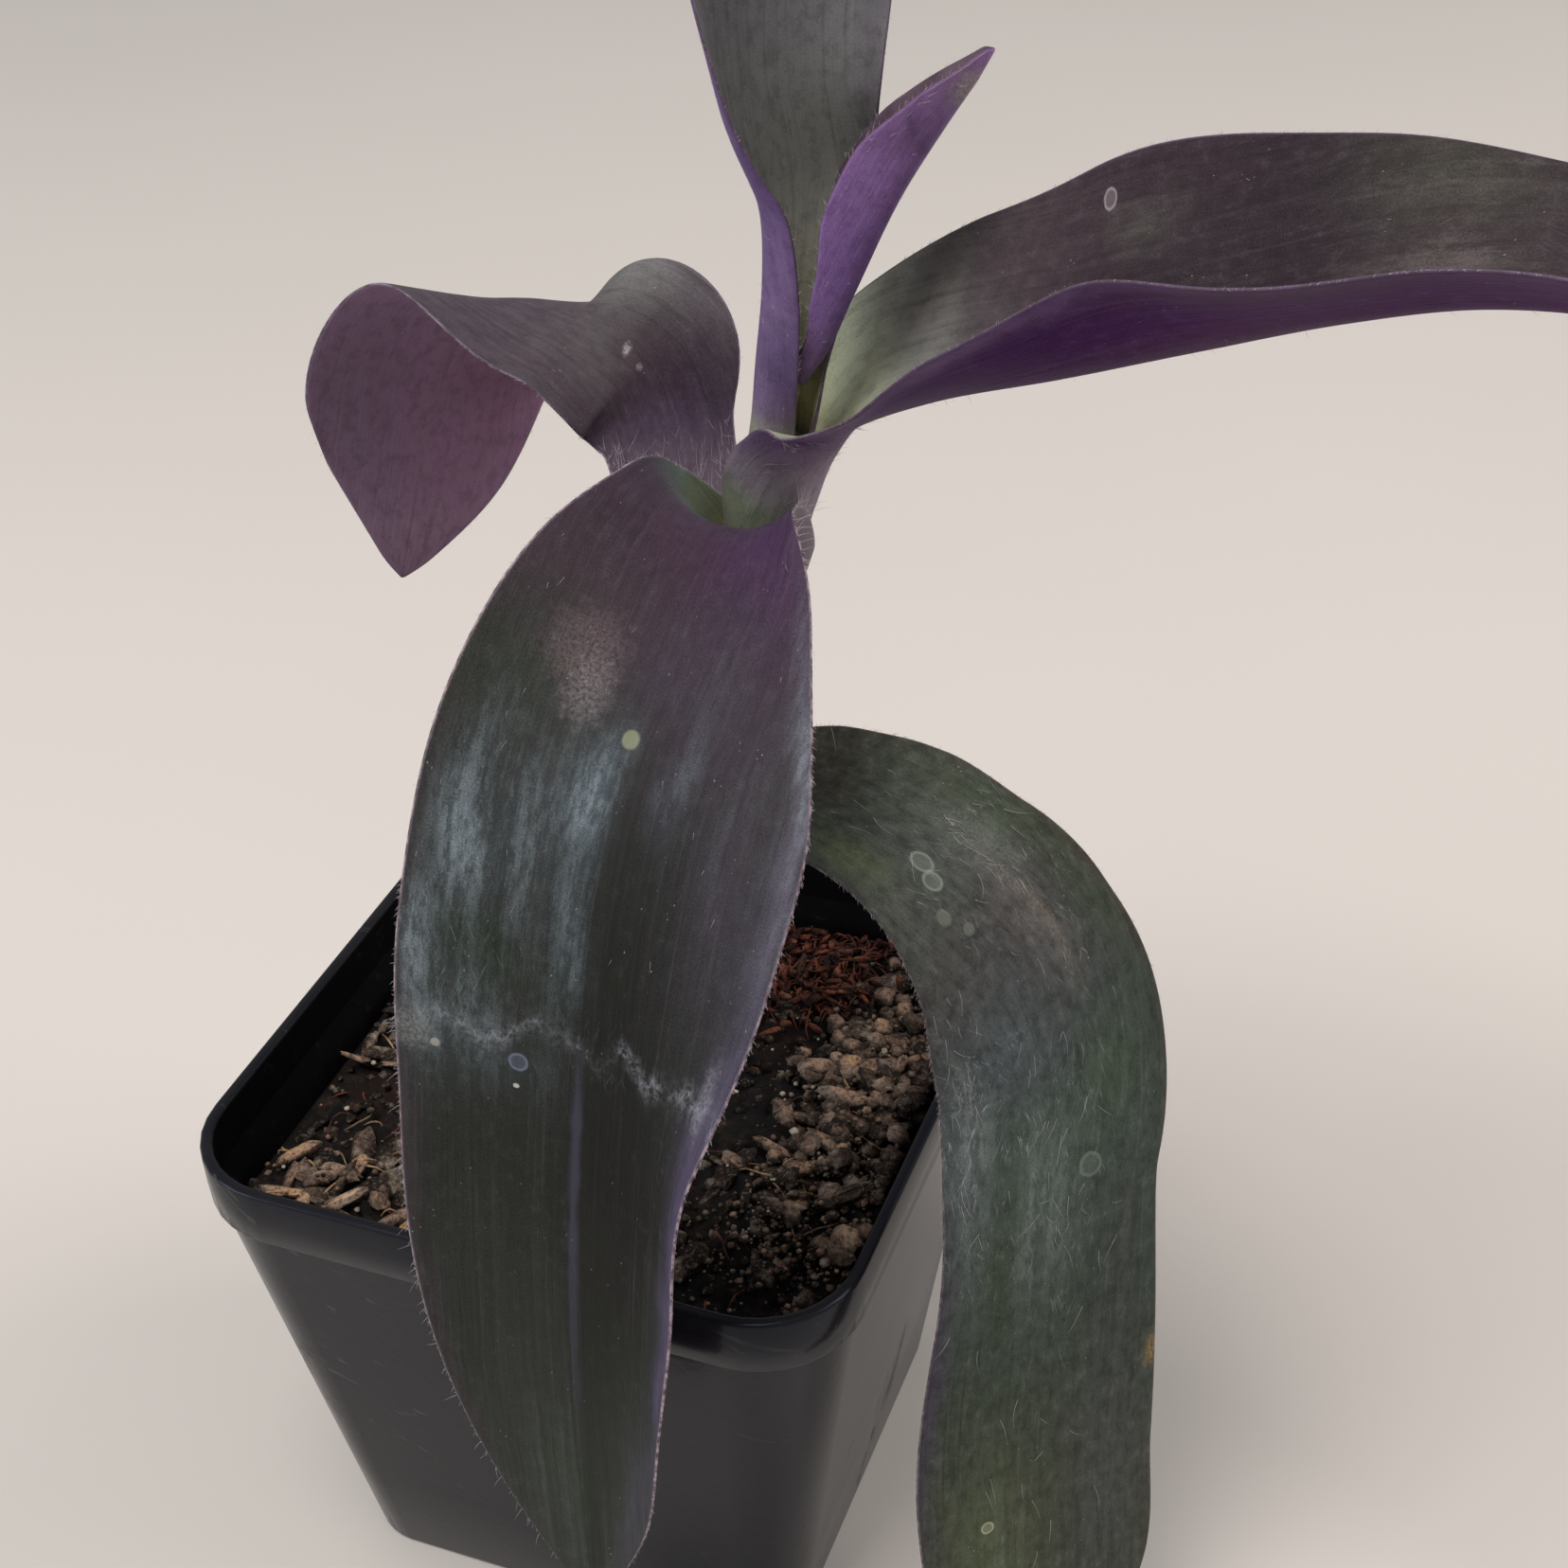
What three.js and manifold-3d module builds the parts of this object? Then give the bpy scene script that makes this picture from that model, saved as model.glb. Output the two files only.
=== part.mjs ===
// A purple-leaved tradescantia in a small square nursery pot: one leaning stem with six leaves
// that clasp it, standing in peat with bark chips. Millimetres, +Z up, and the origin is the
// centre of the pot's underside. The pot's front faces -Y.
import * as THREE from 'three';
import { mergeVertices } from 'three/addons/utils/BufferGeometryUtils.js';
import Module from 'manifold-3d';

const wasm = await Module();
wasm.setup();

// ---- driving dimensions ----
const POT_SIDE = 64; // outside, across the rim
const POT_HEIGHT = 56;
const POT_BASE_SIDE = 47;
const POT_WALL = 1.2;
const RIM_CORNER = 9.7; // corner radius at the rim
const BASE_CORNER = 5.5; // corner radius at the base
const BAND_HEIGHT = 6; // the rim band
const BAND_STEP = 0.9; // how far the band stands out of the wall
const DRAIN_HOLE = 3; // radius
const DRAIN_OFFSET = 13; // of each hole from the middle, along X and along Y

const CLEARANCE = 0.3; // between pieces that touch on the real plant
const SOIL_DROP = 8; // soil surface below the rim
const SOIL_LUMP = 1.1; // height of the soil's lumps
const CHIP_COUNT = 44;

const STEM_RADIUS = 2.85; // at the soil
const STEM_TOP_RADIUS = 2.3; // at the highest leaf but two
const STEM_TIP_RADIUS = 1.5; // inside the top leaf's sheath
const SHOULDER = [107, 112]; // heights between which the stem narrows to its tip
const NODE_SWELL = 0.3; // how far a node stands out of the stem

const BLADE_THICK = 0.9; // at the midrib
const SHEATH_THICK = 0.7; // where the leaf wraps the stem
const MARGIN_THICK = 0.6;
const FOLD_SPAN = 0.35; // share of the half width over which a fold turns
const WAVE_HEIGHT = 0.035; // of the waved margins, as a share of the half width

const BLADE_ROWS = 26; // along a leaf
const BLADE_COLUMNS = 5; // across half a leaf
const STEM_SIDES = 12;
const CORNER_STEPS = 5;
const FINE = 1e-3;

// ---- the stem's middle line, from its buried foot to its tip ----
const STEM_LINE = [
  [0, 2, 22],
  [0, 2, 48],
  [4, 4, 74],
  [10, 7, 96],
  [13.5, 8, 110],
  [14.8, 8.3, 118],
];
const STEM_NODES = [62, 75.4, 87.8, 99.6, 104.6]; // heights of the nodes

// ---- the leaves ----
// A leaf is a row of stations from where it wraps the stem to its tip. Each station gives the
// midrib's point x, y, z, the half widths to the left and right, a roll about the midrib, and
// for the left and then the right half its fold at the midrib and its curl from there to the
// margin, in degrees. A curl of 165 closes the leaf round the stem as a sheath. Left and right
// are seen along the heading, the compass direction in which the leaf grows.
const FRONT_LEAF = {
  heading: -88,
  stations: [
    [11.4, 4.1, 101, 10, 10, 0, 0, 165, 0, 165],
    [12.6, 3.1, 105.8, 8.2, 10.9, -2, 0, 98, 0, 142],
    [13.5, 1.2, 110.3, 6.8, 9.6, -6, 0, 72, 0, 98],
    [14.2, -3, 113.6, 6.2, 10.4, 4, 0, 58, 0, 56],
    [15, -13.5, 112.4, 10.8, 13.5, 12, 0, 40, 0, 24],
    [14, -24.5, 104.5, 15.1, 15.4, 4, 0, 5, 0, 15],
    [13.5, -31.5, 93.5, 15.3, 15.5, 0, 0, 20, 0, 10],
    [12.5, -34, 79, 14.6, 15.3, 0, 0, 65, 0, 10],
    [11.5, -35.5, 64, 14.5, 14.5, 0, 0, 70, 0, 10],
    [11, -36.5, 49, 12, 12, 0, 0, 65, 0, 15],
    [11.5, -38, 36.5, 7.5, 7.5, 0, 0, 45, 0, 10],
    [12.5, -40.5, 25.5, 0.8, 0.8, 0, 0, 0, 0, 0],
  ],
};
const LOWER_RIGHT_LEAF = {
  heading: -35,
  stations: [
    [7.5, 2.3, 76.5, 10, 10, 0, 0, 165, 0, 165],
    [8.7, 2.3, 80.5, 9.7, 9.7, 0, 0, 140, 0, 142],
    [11.4, 1, 85, 7.8, 8, 0, 0, 65, 0, 72],
    [20.5, -7, 91.5, 9, 8.5, -3, 0, 50, 0, 50],
    [28.5, -10, 92, 10.4, 5.8, -4, 0, 20, 0, 10],
    [36, -10, 88, 10.2, 8, 0, 0, 0, 0, 0],
    [41.5, -8, 80, 11, 11.2, 0, 0, -10, 0, -10],
    [44.5, -8, 70, 12.3, 11.8, 0, 0, -10, 0, -10],
    [45.5, -12.5, 60, 12, 11.7, 0, 0, 0, 0, 0],
    [46, -15.5, 47, 12.8, 12.4, 0, 0, 0, 0, 0],
    [47, -20.5, 33, 13.6, 12.8, 0, 0, 0, 0, 0],
    [49, -24.5, 20, 12, 10, 0, 0, 0, 0, 0],
    [51, -27.5, 11, 0.8, 0.8, 0, 0, 0, 0, 0],
  ],
};
const BACK_LEFT_LEAF = {
  heading: 135,
  stations: [
    [5.4, 8.5, 89, 10, 10, 0, 0, 165, 0, 165],
    [6.2, 9.5, 92.5, 9.5, 9, 0, 0, 143, 0, 134],
    [5.3, 11.4, 95.5, 8.5, 6.4, 0, 0, 75, 0, 66],
    [1.7, 17, 102, 8, 6, 0, 0, 55, 0, 60],
    [-1, 21.5, 108.5, 8.5, 5.9, 0, 0, 35, 0, 55],
    [-4, 22, 114.8, 10, 9.8, -8, 0, 20, 0, 60],
    [-10, 20.5, 118.4, 11.5, 7.6, -14, 0, 8, -10, -8],
    [-18.5, 21, 119, 12, 10.5, -12, 0, 0, -12, -12],
    [-25, 22.5, 111, 13, 12.8, 0, 0, 0, 0, 0],
    [-28, 22, 100, 9, 9, 0, 0, 0, 0, 0],
    [-29.5, 18.5, 90, 0.8, 0.8, 0, 0, 0, 0, 0],
  ],
};
const TOP_LEAF = {
  heading: 115,
  stations: [
    [12, 9.3, 113, 6.7, 6.7, -35, 0, 165, 0, 165],
    [12.8, 9.4, 118, 6.7, 6.7, -35, 0, 165, 0, 160],
    [13.4, 9.6, 122.5, 6.8, 5.6, -35, 0, 155, 0, 120],
    [13.8, 12.4, 128.5, 7.6, 5.5, -25, 0, 146, 0, 70],
    [14, 14.5, 136, 8.3, 6.5, -10, 0, 135, 0, 50],
    [13, 14.5, 145, 9.5, 9, 0, 0, 110, 0, 58],
    [13, 15.5, 155, 10, 9.2, 0, 0, 70, 0, 35],
    [14.5, 15.5, 166, 9.5, 8.4, 0, 0, 30, 0, 20],
    [14.5, 17, 176, 6, 6, 0, 0, 10, 0, 10],
    [14.5, 19, 183, 0.8, 0.8, 0, 0, 0, 0, 0],
  ],
};
const YOUNG_LEAF = {
  heading: 10,
  stations: [
    [16.4, 8.4, 122.2, 1.7, 1.7, 0, 60, 20, 60, 20],
    [18.3, 9.2, 125.2, 2.1, 2.1, 0, 62, 15, 62, 15],
    [20.4, 9.9, 130.2, 3.7, 3.7, 0, 65, 12, 65, 12],
    [23.6, 11, 137.5, 5.8, 5.8, 0, 68, 10, 68, 10],
    [27, 12.5, 143.5, 4.3, 4.3, 0, 65, 0, 65, 0],
    [30.5, 14, 149, 0.8, 0.8, 0, 40, 0, 40, 0],
  ],
};
const RIGHT_LEAF = {
  heading: -5,
  stations: [
    [15.8, 7.5, 106.4, 8.8, 8.8, 0, 0, 165, 0, 165],
    [17, 7.8, 111, 10, 9.6, 0, 0, 150, 0, 140],
    [18.5, 9, 115.4, 11, 9.5, 0, 0, 105, 0, 85],
    [22, 9.2, 120, 12.3, 11, 0, 15, 58, 0, 35],
    [30, 6, 125, 15, 11, 0, 35, 25, 21, -4],
    [41, 0.5, 130.7, 16.2, 13, 0, 48, 10, 41, -5],
    [52, -4.5, 136.6, 16, 14.5, 0, 50, 5, 58, -12],
    [62, -8.5, 141.8, 13, 14, 0, 50, 0, 48, -20],
    [71, -11, 145, 10.8, 12.5, 0, 46, -5, 48, -20],
    [79.5, -12.5, 145.8, 9.2, 11, 0, 40, -5, 45, -20],
    [88, -12, 143.3, 7, 8, 0, 34, 0, 38, -10],
    [95.5, -11, 139, 0.8, 0.8, 0, 20, 0, 20, 0],
  ],
};

// ---- small helpers ----
const radians = (degrees) => (degrees * Math.PI) / 180;
const mix = (a, b, share) => a + (b - a) * share;

// Draws that are the same each time.
function seededRandom(seed) {
  let state = seed;
  return () => {
    state = (state * 16807) % 2147483647;
    return state / 2147483647;
  };
}

// A smooth curve through rows of numbers; place runs from 0 at the first row to 1 at the last.
function sampleRows(rows, place) {
  const last = rows.length - 1;
  const along = Math.min(Math.max(place, 0), 1) * last;
  const i = Math.min(Math.floor(along), last - 1);
  const t = along - i;
  const from = rows[i];
  const to = rows[i + 1];
  return from.map((value, k) => {
    const before = i > 0 ? rows[i - 1][k] : 2 * value - to[k];
    const after = i + 2 <= last ? rows[i + 2][k] : 2 * to[k] - value;
    const linear = to[k] - before;
    const square = 2 * before - 5 * value + 4 * to[k] - after;
    const cube = 3 * value - before - 3 * to[k] + after;
    return value + 0.5 * t * (linear + t * (square + t * cube));
  });
}

const pointOn = (rows, place) => new THREE.Vector3(...sampleRows(rows, place).slice(0, 3));

function directionOn(rows, place) {
  const ahead = pointOn(rows, Math.min(place + FINE, 1));
  return ahead.sub(pointOn(rows, Math.max(place - FINE, 0))).normalize();
}

// Rings of equal length joined into a closed skin, with a flat fan over each end.
function loftRings(rings) {
  const sides = rings[0].length;
  const positions = [];
  const faces = [];
  rings.forEach((ring) => ring.forEach((p) => positions.push(p.x, p.y, p.z)));
  for (let r = 0; r + 1 < rings.length; r += 1) {
    for (let s = 0; s < sides; s += 1) {
      const a = r * sides + s;
      const b = r * sides + ((s + 1) % sides);
      faces.push(a, b, b + sides, a, b + sides, a + sides);
    }
  }
  [rings[0], rings[rings.length - 1]].forEach((ring, end) => {
    const centre = new THREE.Vector3();
    ring.forEach((p) => centre.addScaledVector(p, 1 / sides));
    const hub = positions.length / 3;
    positions.push(centre.x, centre.y, centre.z);
    const start = end === 0 ? 0 : (rings.length - 1) * sides;
    for (let s = 0; s < sides; s += 1) {
      const a = start + s;
      const b = start + ((s + 1) % sides);
      if (end === 0) faces.push(hub, b, a);
      else faces.push(hub, a, b);
    }
  });
  const geometry = new THREE.BufferGeometry();
  geometry.setAttribute('position', new THREE.Float32BufferAttribute(positions, 3));
  geometry.setIndex(faces);
  return geometry;
}

function toSolid(geometry) {
  const bare = geometry.clone();
  bare.deleteAttribute('normal');
  bare.deleteAttribute('uv');
  const merged = mergeVertices(bare, 1e-4);
  return new wasm.Manifold(
    new wasm.Mesh({
      numProp: 3,
      vertProperties: new Float32Array(merged.attributes.position.array),
      triVerts: new Uint32Array(merged.index.array),
    }),
  );
}

function toGeometry(solid) {
  const mesh = solid.getMesh();
  const geometry = new THREE.BufferGeometry();
  geometry.setAttribute('position', new THREE.BufferAttribute(mesh.vertProperties, 3));
  geometry.setIndex(new THREE.BufferAttribute(mesh.triVerts, 1));
  return geometry;
}

// ---- the pot ----
// A square with rounded corners, counter-clockwise seen from above.
function roundedSquare(side, corner, z) {
  const inner = side / 2 - corner;
  const ring = [];
  for (let quarter = 0; quarter < 4; quarter += 1) {
    for (let step = 0; step <= CORNER_STEPS; step += 1) {
      const turn = radians(90 * (quarter + step / CORNER_STEPS));
      const middle = radians(90 * quarter + 45);
      const x = Math.sign(Math.cos(middle)) * inner + corner * Math.cos(turn);
      const y = Math.sign(Math.sin(middle)) * inner + corner * Math.sin(turn);
      ring.push(new THREE.Vector3(x, y, z));
    }
  }
  return ring;
}

// The pot's outside at a height below the band, moved inwards by an inset.
function potRing(z, inset) {
  const share = z / (POT_HEIGHT - BAND_HEIGHT);
  const side = mix(POT_BASE_SIDE, POT_SIDE - 2 * BAND_STEP, share);
  const corner = mix(BASE_CORNER, RIM_CORNER - BAND_STEP, share);
  return roundedSquare(side - 2 * inset, corner - inset, z);
}

function potGeometry() {
  const bandFoot = POT_HEIGHT - BAND_HEIGHT;
  const lip = 0.4; // rounding of the rim's top edges
  const rimInner = POT_SIDE - 2 * (POT_WALL + BAND_STEP);
  const shell = loftRings([
    potRing(0, 0.5),
    potRing(0.5, 0),
    potRing(bandFoot, 0),
    roundedSquare(POT_SIDE - 0.4, RIM_CORNER - 0.2, bandFoot),
    roundedSquare(POT_SIDE, RIM_CORNER, POT_HEIGHT - lip),
    roundedSquare(POT_SIDE - 2 * lip, RIM_CORNER - lip, POT_HEIGHT),
    roundedSquare(rimInner + 2 * lip, RIM_CORNER - POT_WALL, POT_HEIGHT),
    roundedSquare(rimInner, RIM_CORNER - POT_WALL - lip, POT_HEIGHT - lip),
    potRing(bandFoot - 1, POT_WALL),
    potRing(POT_WALL, POT_WALL),
  ]);
  let solid = toSolid(shell);
  for (const x of [-DRAIN_OFFSET, DRAIN_OFFSET]) {
    for (const y of [-DRAIN_OFFSET, DRAIN_OFFSET]) {
      const drill = new THREE.CylinderGeometry(DRAIN_HOLE, DRAIN_HOLE, 4 * POT_WALL, 16);
      drill.rotateX(radians(90));
      drill.translate(x, y, POT_WALL / 2);
      solid = solid.subtract(toSolid(drill));
    }
  }
  return toGeometry(solid);
}

// ---- the stem ----
// Radius from the buried foot to the tip, with a swelling at each node.
function stemRadius(z) {
  const rise = THREE.MathUtils.clamp((z - POT_HEIGHT) / (SHOULDER[0] - POT_HEIGHT), 0, 1);
  const narrowing = THREE.MathUtils.smoothstep(z, ...SHOULDER);
  const taper = mix(mix(STEM_RADIUS, STEM_TOP_RADIUS, rise), STEM_TIP_RADIUS, narrowing);
  const swell = STEM_NODES.map((node) => Math.exp(-(((z - node) / 1.6) ** 2)));
  return taper + NODE_SWELL * Math.max(...swell);
}

function stemGeometry(extra = 0) {
  const steps = 44;
  const rings = [];
  const foot = new THREE.Vector3(0, 0, -extra);
  for (let i = 0; i <= steps; i += 1) {
    const place = i / steps;
    const centre = pointOn(STEM_LINE, place);
    const along = directionOn(STEM_LINE, place);
    if (i === 0) centre.add(foot);
    const across = new THREE.Vector3(0, 1, 0).cross(along).normalize();
    const forward = along.clone().cross(across);
    const rounded = i === steps ? 0.6 : 1;
    const radius = (stemRadius(centre.z) + extra) * rounded;
    const ring = [];
    for (let s = 0; s < STEM_SIDES; s += 1) {
      const turn = (2 * Math.PI * s) / STEM_SIDES;
      const point = centre.clone().addScaledVector(across, radius * Math.cos(turn));
      ring.push(point.addScaledVector(forward, radius * Math.sin(turn)));
    }
    rings.push(ring);
  }
  return loftRings(rings);
}

// ---- the soil ----
// Height of the lumpy surface: a few crossed waves of unequal length.
function soilHeight(x, y) {
  const broad = Math.sin(0.21 * x + 1.3) * Math.cos(0.17 * y - 0.4);
  const middle = Math.sin(0.53 * x - 0.31 * y) * Math.cos(0.44 * y + 0.9);
  const fine = Math.sin(1.1 * x + 0.7 * y) * Math.cos(0.9 * y - 0.5 * x);
  const lumps = 0.5 * broad + 0.3 * middle + 0.25 * fine;
  return POT_HEIGHT - SOIL_DROP + SOIL_LUMP * lumps;
}

// One flat bark chip, lying in the surface with its lower half sunk.
function barkChip(random) {
  const length = mix(3.5, 9, random() ** 2);
  const width = mix(1.8, 3.2, random());
  const thick = mix(1.2, 2, random());
  const reach = POT_SIDE / 2 - 8;
  const chip = new THREE.BoxGeometry(length, width, thick);
  chip.rotateX(radians(mix(-20, 20, random())));
  chip.rotateY(radians(mix(-15, 15, random())));
  chip.rotateZ(radians(360 * random()));
  const x = mix(-reach, reach, random());
  const y = mix(-reach, reach, random());
  chip.translate(x, y, soilHeight(x, y) + thick * 0.15);
  return { chip, nearStem: Math.hypot(x - STEM_LINE[1][0], y - STEM_LINE[1][1]) < 9 };
}

function soilGeometry() {
  const gap = POT_WALL + CLEARANCE;
  const levels = 9;
  const edgeHeight = POT_HEIGHT - SOIL_DROP - 1.2;
  const rings = [potRing(gap, gap), potRing(edgeHeight, gap)];
  for (let i = 1; i < levels; i += 1) {
    const share = 1 - i / levels;
    const ring = potRing(edgeHeight, gap).map((p) => {
      const x = p.x * share;
      const y = p.y * share;
      return new THREE.Vector3(x, y, soilHeight(x, y));
    });
    rings.push(ring);
  }
  let solid = toSolid(loftRings(rings));
  const random = seededRandom(41);
  for (let i = 0; i < CHIP_COUNT; i += 1) {
    const { chip, nearStem } = barkChip(random);
    if (!nearStem) solid = solid.add(toSolid(chip));
  }
  const stemHole = toSolid(stemGeometry(CLEARANCE));
  return toGeometry(solid.subtract(stemHole));
}

// ---- the leaves ----
// The leaf's middle surface as rows of points from the left margin to the right one.
function leafRows({ heading, stations }, phase) {
  const facing = radians(heading);
  const level = new THREE.Vector3(Math.sin(facing), -Math.cos(facing), 0);
  const rows = [];
  for (let j = 0; j <= BLADE_ROWS; j += 1) {
    const place = j / BLADE_ROWS;
    const [, , , left, right, roll, foldL, curlL, foldR, curlR] = sampleRows(stations, place);
    const along = directionOn(stations, place);
    const flat = level.clone().addScaledVector(along, -level.dot(along)).normalize();
    const up = flat.clone().cross(along);
    const side = flat.clone().multiplyScalar(Math.cos(radians(roll)));
    side.addScaledVector(up, Math.sin(radians(roll)));
    const face = side.clone().cross(along);
    const halves = [
      { sign: -1, half: left, fold: foldL, curl: curlL },
      { sign: 1, half: right, fold: foldR, curl: curlR },
    ].map(({ sign, half, fold, curl }) => {
      const fine = 4;
      const steps = BLADE_COLUMNS * fine;
      const point = pointOn(stations, place);
      const points = [];
      for (let k = 0; k < steps; k += 1) {
        const share = (k + 0.5) / steps;
        const slope = radians(fold * Math.min(share / FOLD_SPAN, 1) + curl * share);
        point.addScaledVector(side, (sign * half * Math.cos(slope)) / steps);
        point.addScaledVector(face, (half * Math.sin(slope)) / steps);
        if ((k + 1) % fine === 0) {
          const edge = ((k + 1) / steps) ** 3 * Math.sin(Math.PI * place);
          const wave = WAVE_HEIGHT * half * edge * Math.sin(place * 34 + phase + sign);
          points.push(point.clone().addScaledVector(face, wave));
        }
      }
      return points;
    });
    rows.push([...halves[0].reverse(), pointOn(stations, place), ...halves[1]]);
  }
  return rows;
}

// Thickness at a place along the leaf and a share of the half width.
function leafThickness(place, share) {
  const middle = mix(SHEATH_THICK, BLADE_THICK, Math.min(place / 0.25, 1));
  return mix(middle, MARGIN_THICK, share ** 2);
}

function leafGeometry(leaf, phase) {
  const rows = leafRows(leaf, phase);
  const across = rows[0].length;
  const faceNormal = (j, i) => {
    const near = rows[Math.max(j - 1, 0)][i];
    const far = rows[Math.min(j + 1, BLADE_ROWS)][i];
    const left = rows[j][Math.max(i - 1, 0)];
    const right = rows[j][Math.min(i + 1, across - 1)];
    const along = far.clone().sub(near);
    return right.clone().sub(left).cross(along).normalize();
  };
  const positions = [];
  for (const side of [0.5, -0.5]) {
    rows.forEach((row, j) => {
      row.forEach((point, i) => {
        const share = Math.abs(i - BLADE_COLUMNS) / BLADE_COLUMNS;
        const thick = leafThickness(j / BLADE_ROWS, share);
        const skin = point.clone().addScaledVector(faceNormal(j, i), side * thick);
        positions.push(skin.x, skin.y, skin.z);
      });
    });
  }
  const under = rows.length * across;
  const faces = [];
  const quad = (a, b, c, d) => faces.push(a, b, c, a, c, d);
  for (let j = 0; j < BLADE_ROWS; j += 1) {
    for (let i = 0; i + 1 < across; i += 1) {
      const a = j * across + i;
      const d = a + across;
      quad(a, a + 1, d + 1, d);
      faces.push(under + a, under + d + 1, under + a + 1, under + a, under + d, under + d + 1);
    }
    const left = j * across;
    const right = left + across - 1;
    quad(left, left + across, under + left + across, under + left);
    quad(right, under + right, under + right + across, right + across);
  }
  const end = BLADE_ROWS * across;
  for (let i = 0; i + 1 < across; i += 1) {
    quad(i, under + i, under + i + 1, i + 1);
    quad(end + i, end + i + 1, under + end + i + 1, under + end + i);
  }
  const geometry = new THREE.BufferGeometry();
  geometry.setAttribute('position', new THREE.Float32BufferAttribute(positions, 3));
  geometry.setIndex(faces);
  return geometry;
}

// ---- the object ----
function finish(color, roughness) {
  return new THREE.MeshStandardMaterial({ color, roughness, metalness: 0 });
}

function piece(name, geometry, material) {
  const mesh = new THREE.Mesh(geometry, material);
  mesh.name = name;
  return mesh;
}

const plant = new THREE.Group();
plant.add(piece('pot', potGeometry(), finish(0x2c2c31, 0.38)));
plant.add(piece('soil', soilGeometry(), finish(0x33271f, 0.95)));
plant.add(piece('stem', stemGeometry(), finish(0x5d5a5c, 0.5)));

const leaves = {
  front_leaf: [FRONT_LEAF, 0x43404a],
  lower_right_leaf: [LOWER_RIGHT_LEAF, 0x3d4a48],
  back_left_leaf: [BACK_LEFT_LEAF, 0x57475a],
  right_leaf: [RIGHT_LEAF, 0x4d4350],
  top_leaf: [TOP_LEAF, 0x54505c],
  young_leaf: [YOUNG_LEAF, 0x5c4766],
};
Object.entries(leaves).forEach(([name, [leaf, color]], index) => {
  plant.add(piece(name, leafGeometry(leaf, 1.7 * index), finish(color, 0.45)));
});

export default plant;
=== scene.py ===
# %% [markdown]
# # A purple-leaved tradescantia in its nursery pot
#
# The plant is one leaning stem with six leaves that clasp it, in a small square pot of peat.
# Its frame was made beforehand at real size. This lesson keeps that frame and gives each piece
# its finer shape and its finish: satin plastic, crumbly peat, and waxy, hairy leaf skin.
#
# The frame comes in first, and its box is kept, so that the leaf edges and the hairs can be kept
# inside it.

# %% Load the frame
import math
import random

import bmesh
import bpy
from mathutils import Matrix, Vector, noise


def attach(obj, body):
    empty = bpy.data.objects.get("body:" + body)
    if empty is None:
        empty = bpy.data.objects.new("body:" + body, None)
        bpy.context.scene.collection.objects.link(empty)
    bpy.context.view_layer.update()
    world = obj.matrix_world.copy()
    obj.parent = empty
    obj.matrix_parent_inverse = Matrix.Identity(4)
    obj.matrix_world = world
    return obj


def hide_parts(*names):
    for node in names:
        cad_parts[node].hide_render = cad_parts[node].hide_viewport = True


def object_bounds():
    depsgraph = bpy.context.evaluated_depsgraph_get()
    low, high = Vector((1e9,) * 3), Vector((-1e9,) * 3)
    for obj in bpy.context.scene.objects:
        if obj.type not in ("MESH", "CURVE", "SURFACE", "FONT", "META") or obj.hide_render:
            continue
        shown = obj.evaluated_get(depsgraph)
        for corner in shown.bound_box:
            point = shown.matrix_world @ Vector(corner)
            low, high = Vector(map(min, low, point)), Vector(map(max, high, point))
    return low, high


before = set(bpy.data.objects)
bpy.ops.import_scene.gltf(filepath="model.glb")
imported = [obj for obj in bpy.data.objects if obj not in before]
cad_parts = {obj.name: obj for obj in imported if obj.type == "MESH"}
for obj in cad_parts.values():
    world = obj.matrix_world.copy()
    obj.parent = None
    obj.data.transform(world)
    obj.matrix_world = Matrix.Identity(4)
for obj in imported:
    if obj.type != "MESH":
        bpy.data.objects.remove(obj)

MM = 0.001
frame_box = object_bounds()
print("frame nodes:", ", ".join(sorted(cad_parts)))

# %% [markdown]
# ## The camera
#
# The picture looks down on the plant from the front and a little to the right. A camera is
# placed with a matrix whose columns are its right, its up and its back. A small roll leans it
# the way the picture leans. The lens is a short telephoto, so the pot's sides stay nearly
# parallel.

# %% Place the camera
AZIMUTH = math.radians(21.8)
ELEVATION = math.radians(35.1)
ROLL = math.radians(-2.0)
CAMERA_AT = Vector((81.6, -161.2, 210.2)) * MM
LENS = 56.52

back = Vector((math.sin(AZIMUTH), -math.cos(AZIMUTH), math.tan(ELEVATION))).normalized()
level = Vector((math.cos(AZIMUTH), math.sin(AZIMUTH), 0))
upright = back.cross(level)
right = level * math.cos(ROLL) + upright * math.sin(ROLL)
up = upright * math.cos(ROLL) - level * math.sin(ROLL)

camera = bpy.data.objects.new("camera", bpy.data.cameras.new("camera"))
camera.data.lens = LENS
camera.data.clip_start = 0.01
camera.matrix_world = Matrix.Translation(CAMERA_AT) @ Matrix((right, up, back)).transposed().to_4x4()
bpy.context.scene.collection.objects.link(camera)
bpy.context.scene.camera = camera
print("camera", [round(c, 3) for c in CAMERA_AT], "lens", LENS)

# %% [markdown]
# ## Tools for the finishes
#
# A finish is a small network of nodes that ends in one shader. Building it takes the same few
# moves again and again: put a node in, feed its sockets, mix two colours, bend a value. These
# helpers do those moves, so that each finish below reads as a recipe. Colours are written as
# the eye sees them, in hex, and changed to the linear numbers that the shader needs.

# %% Tools for the finishes
def shade(hex_colour):
    """A colour as seen, such as #4a4650, in the shader's linear numbers."""
    seen = [int(hex_colour[i : i + 2], 16) / 255 for i in (1, 3, 5)]
    return (*[c / 12.92 if c <= 0.04045 else ((c + 0.055) / 1.055) ** 2.4 for c in seen], 1)


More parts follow.
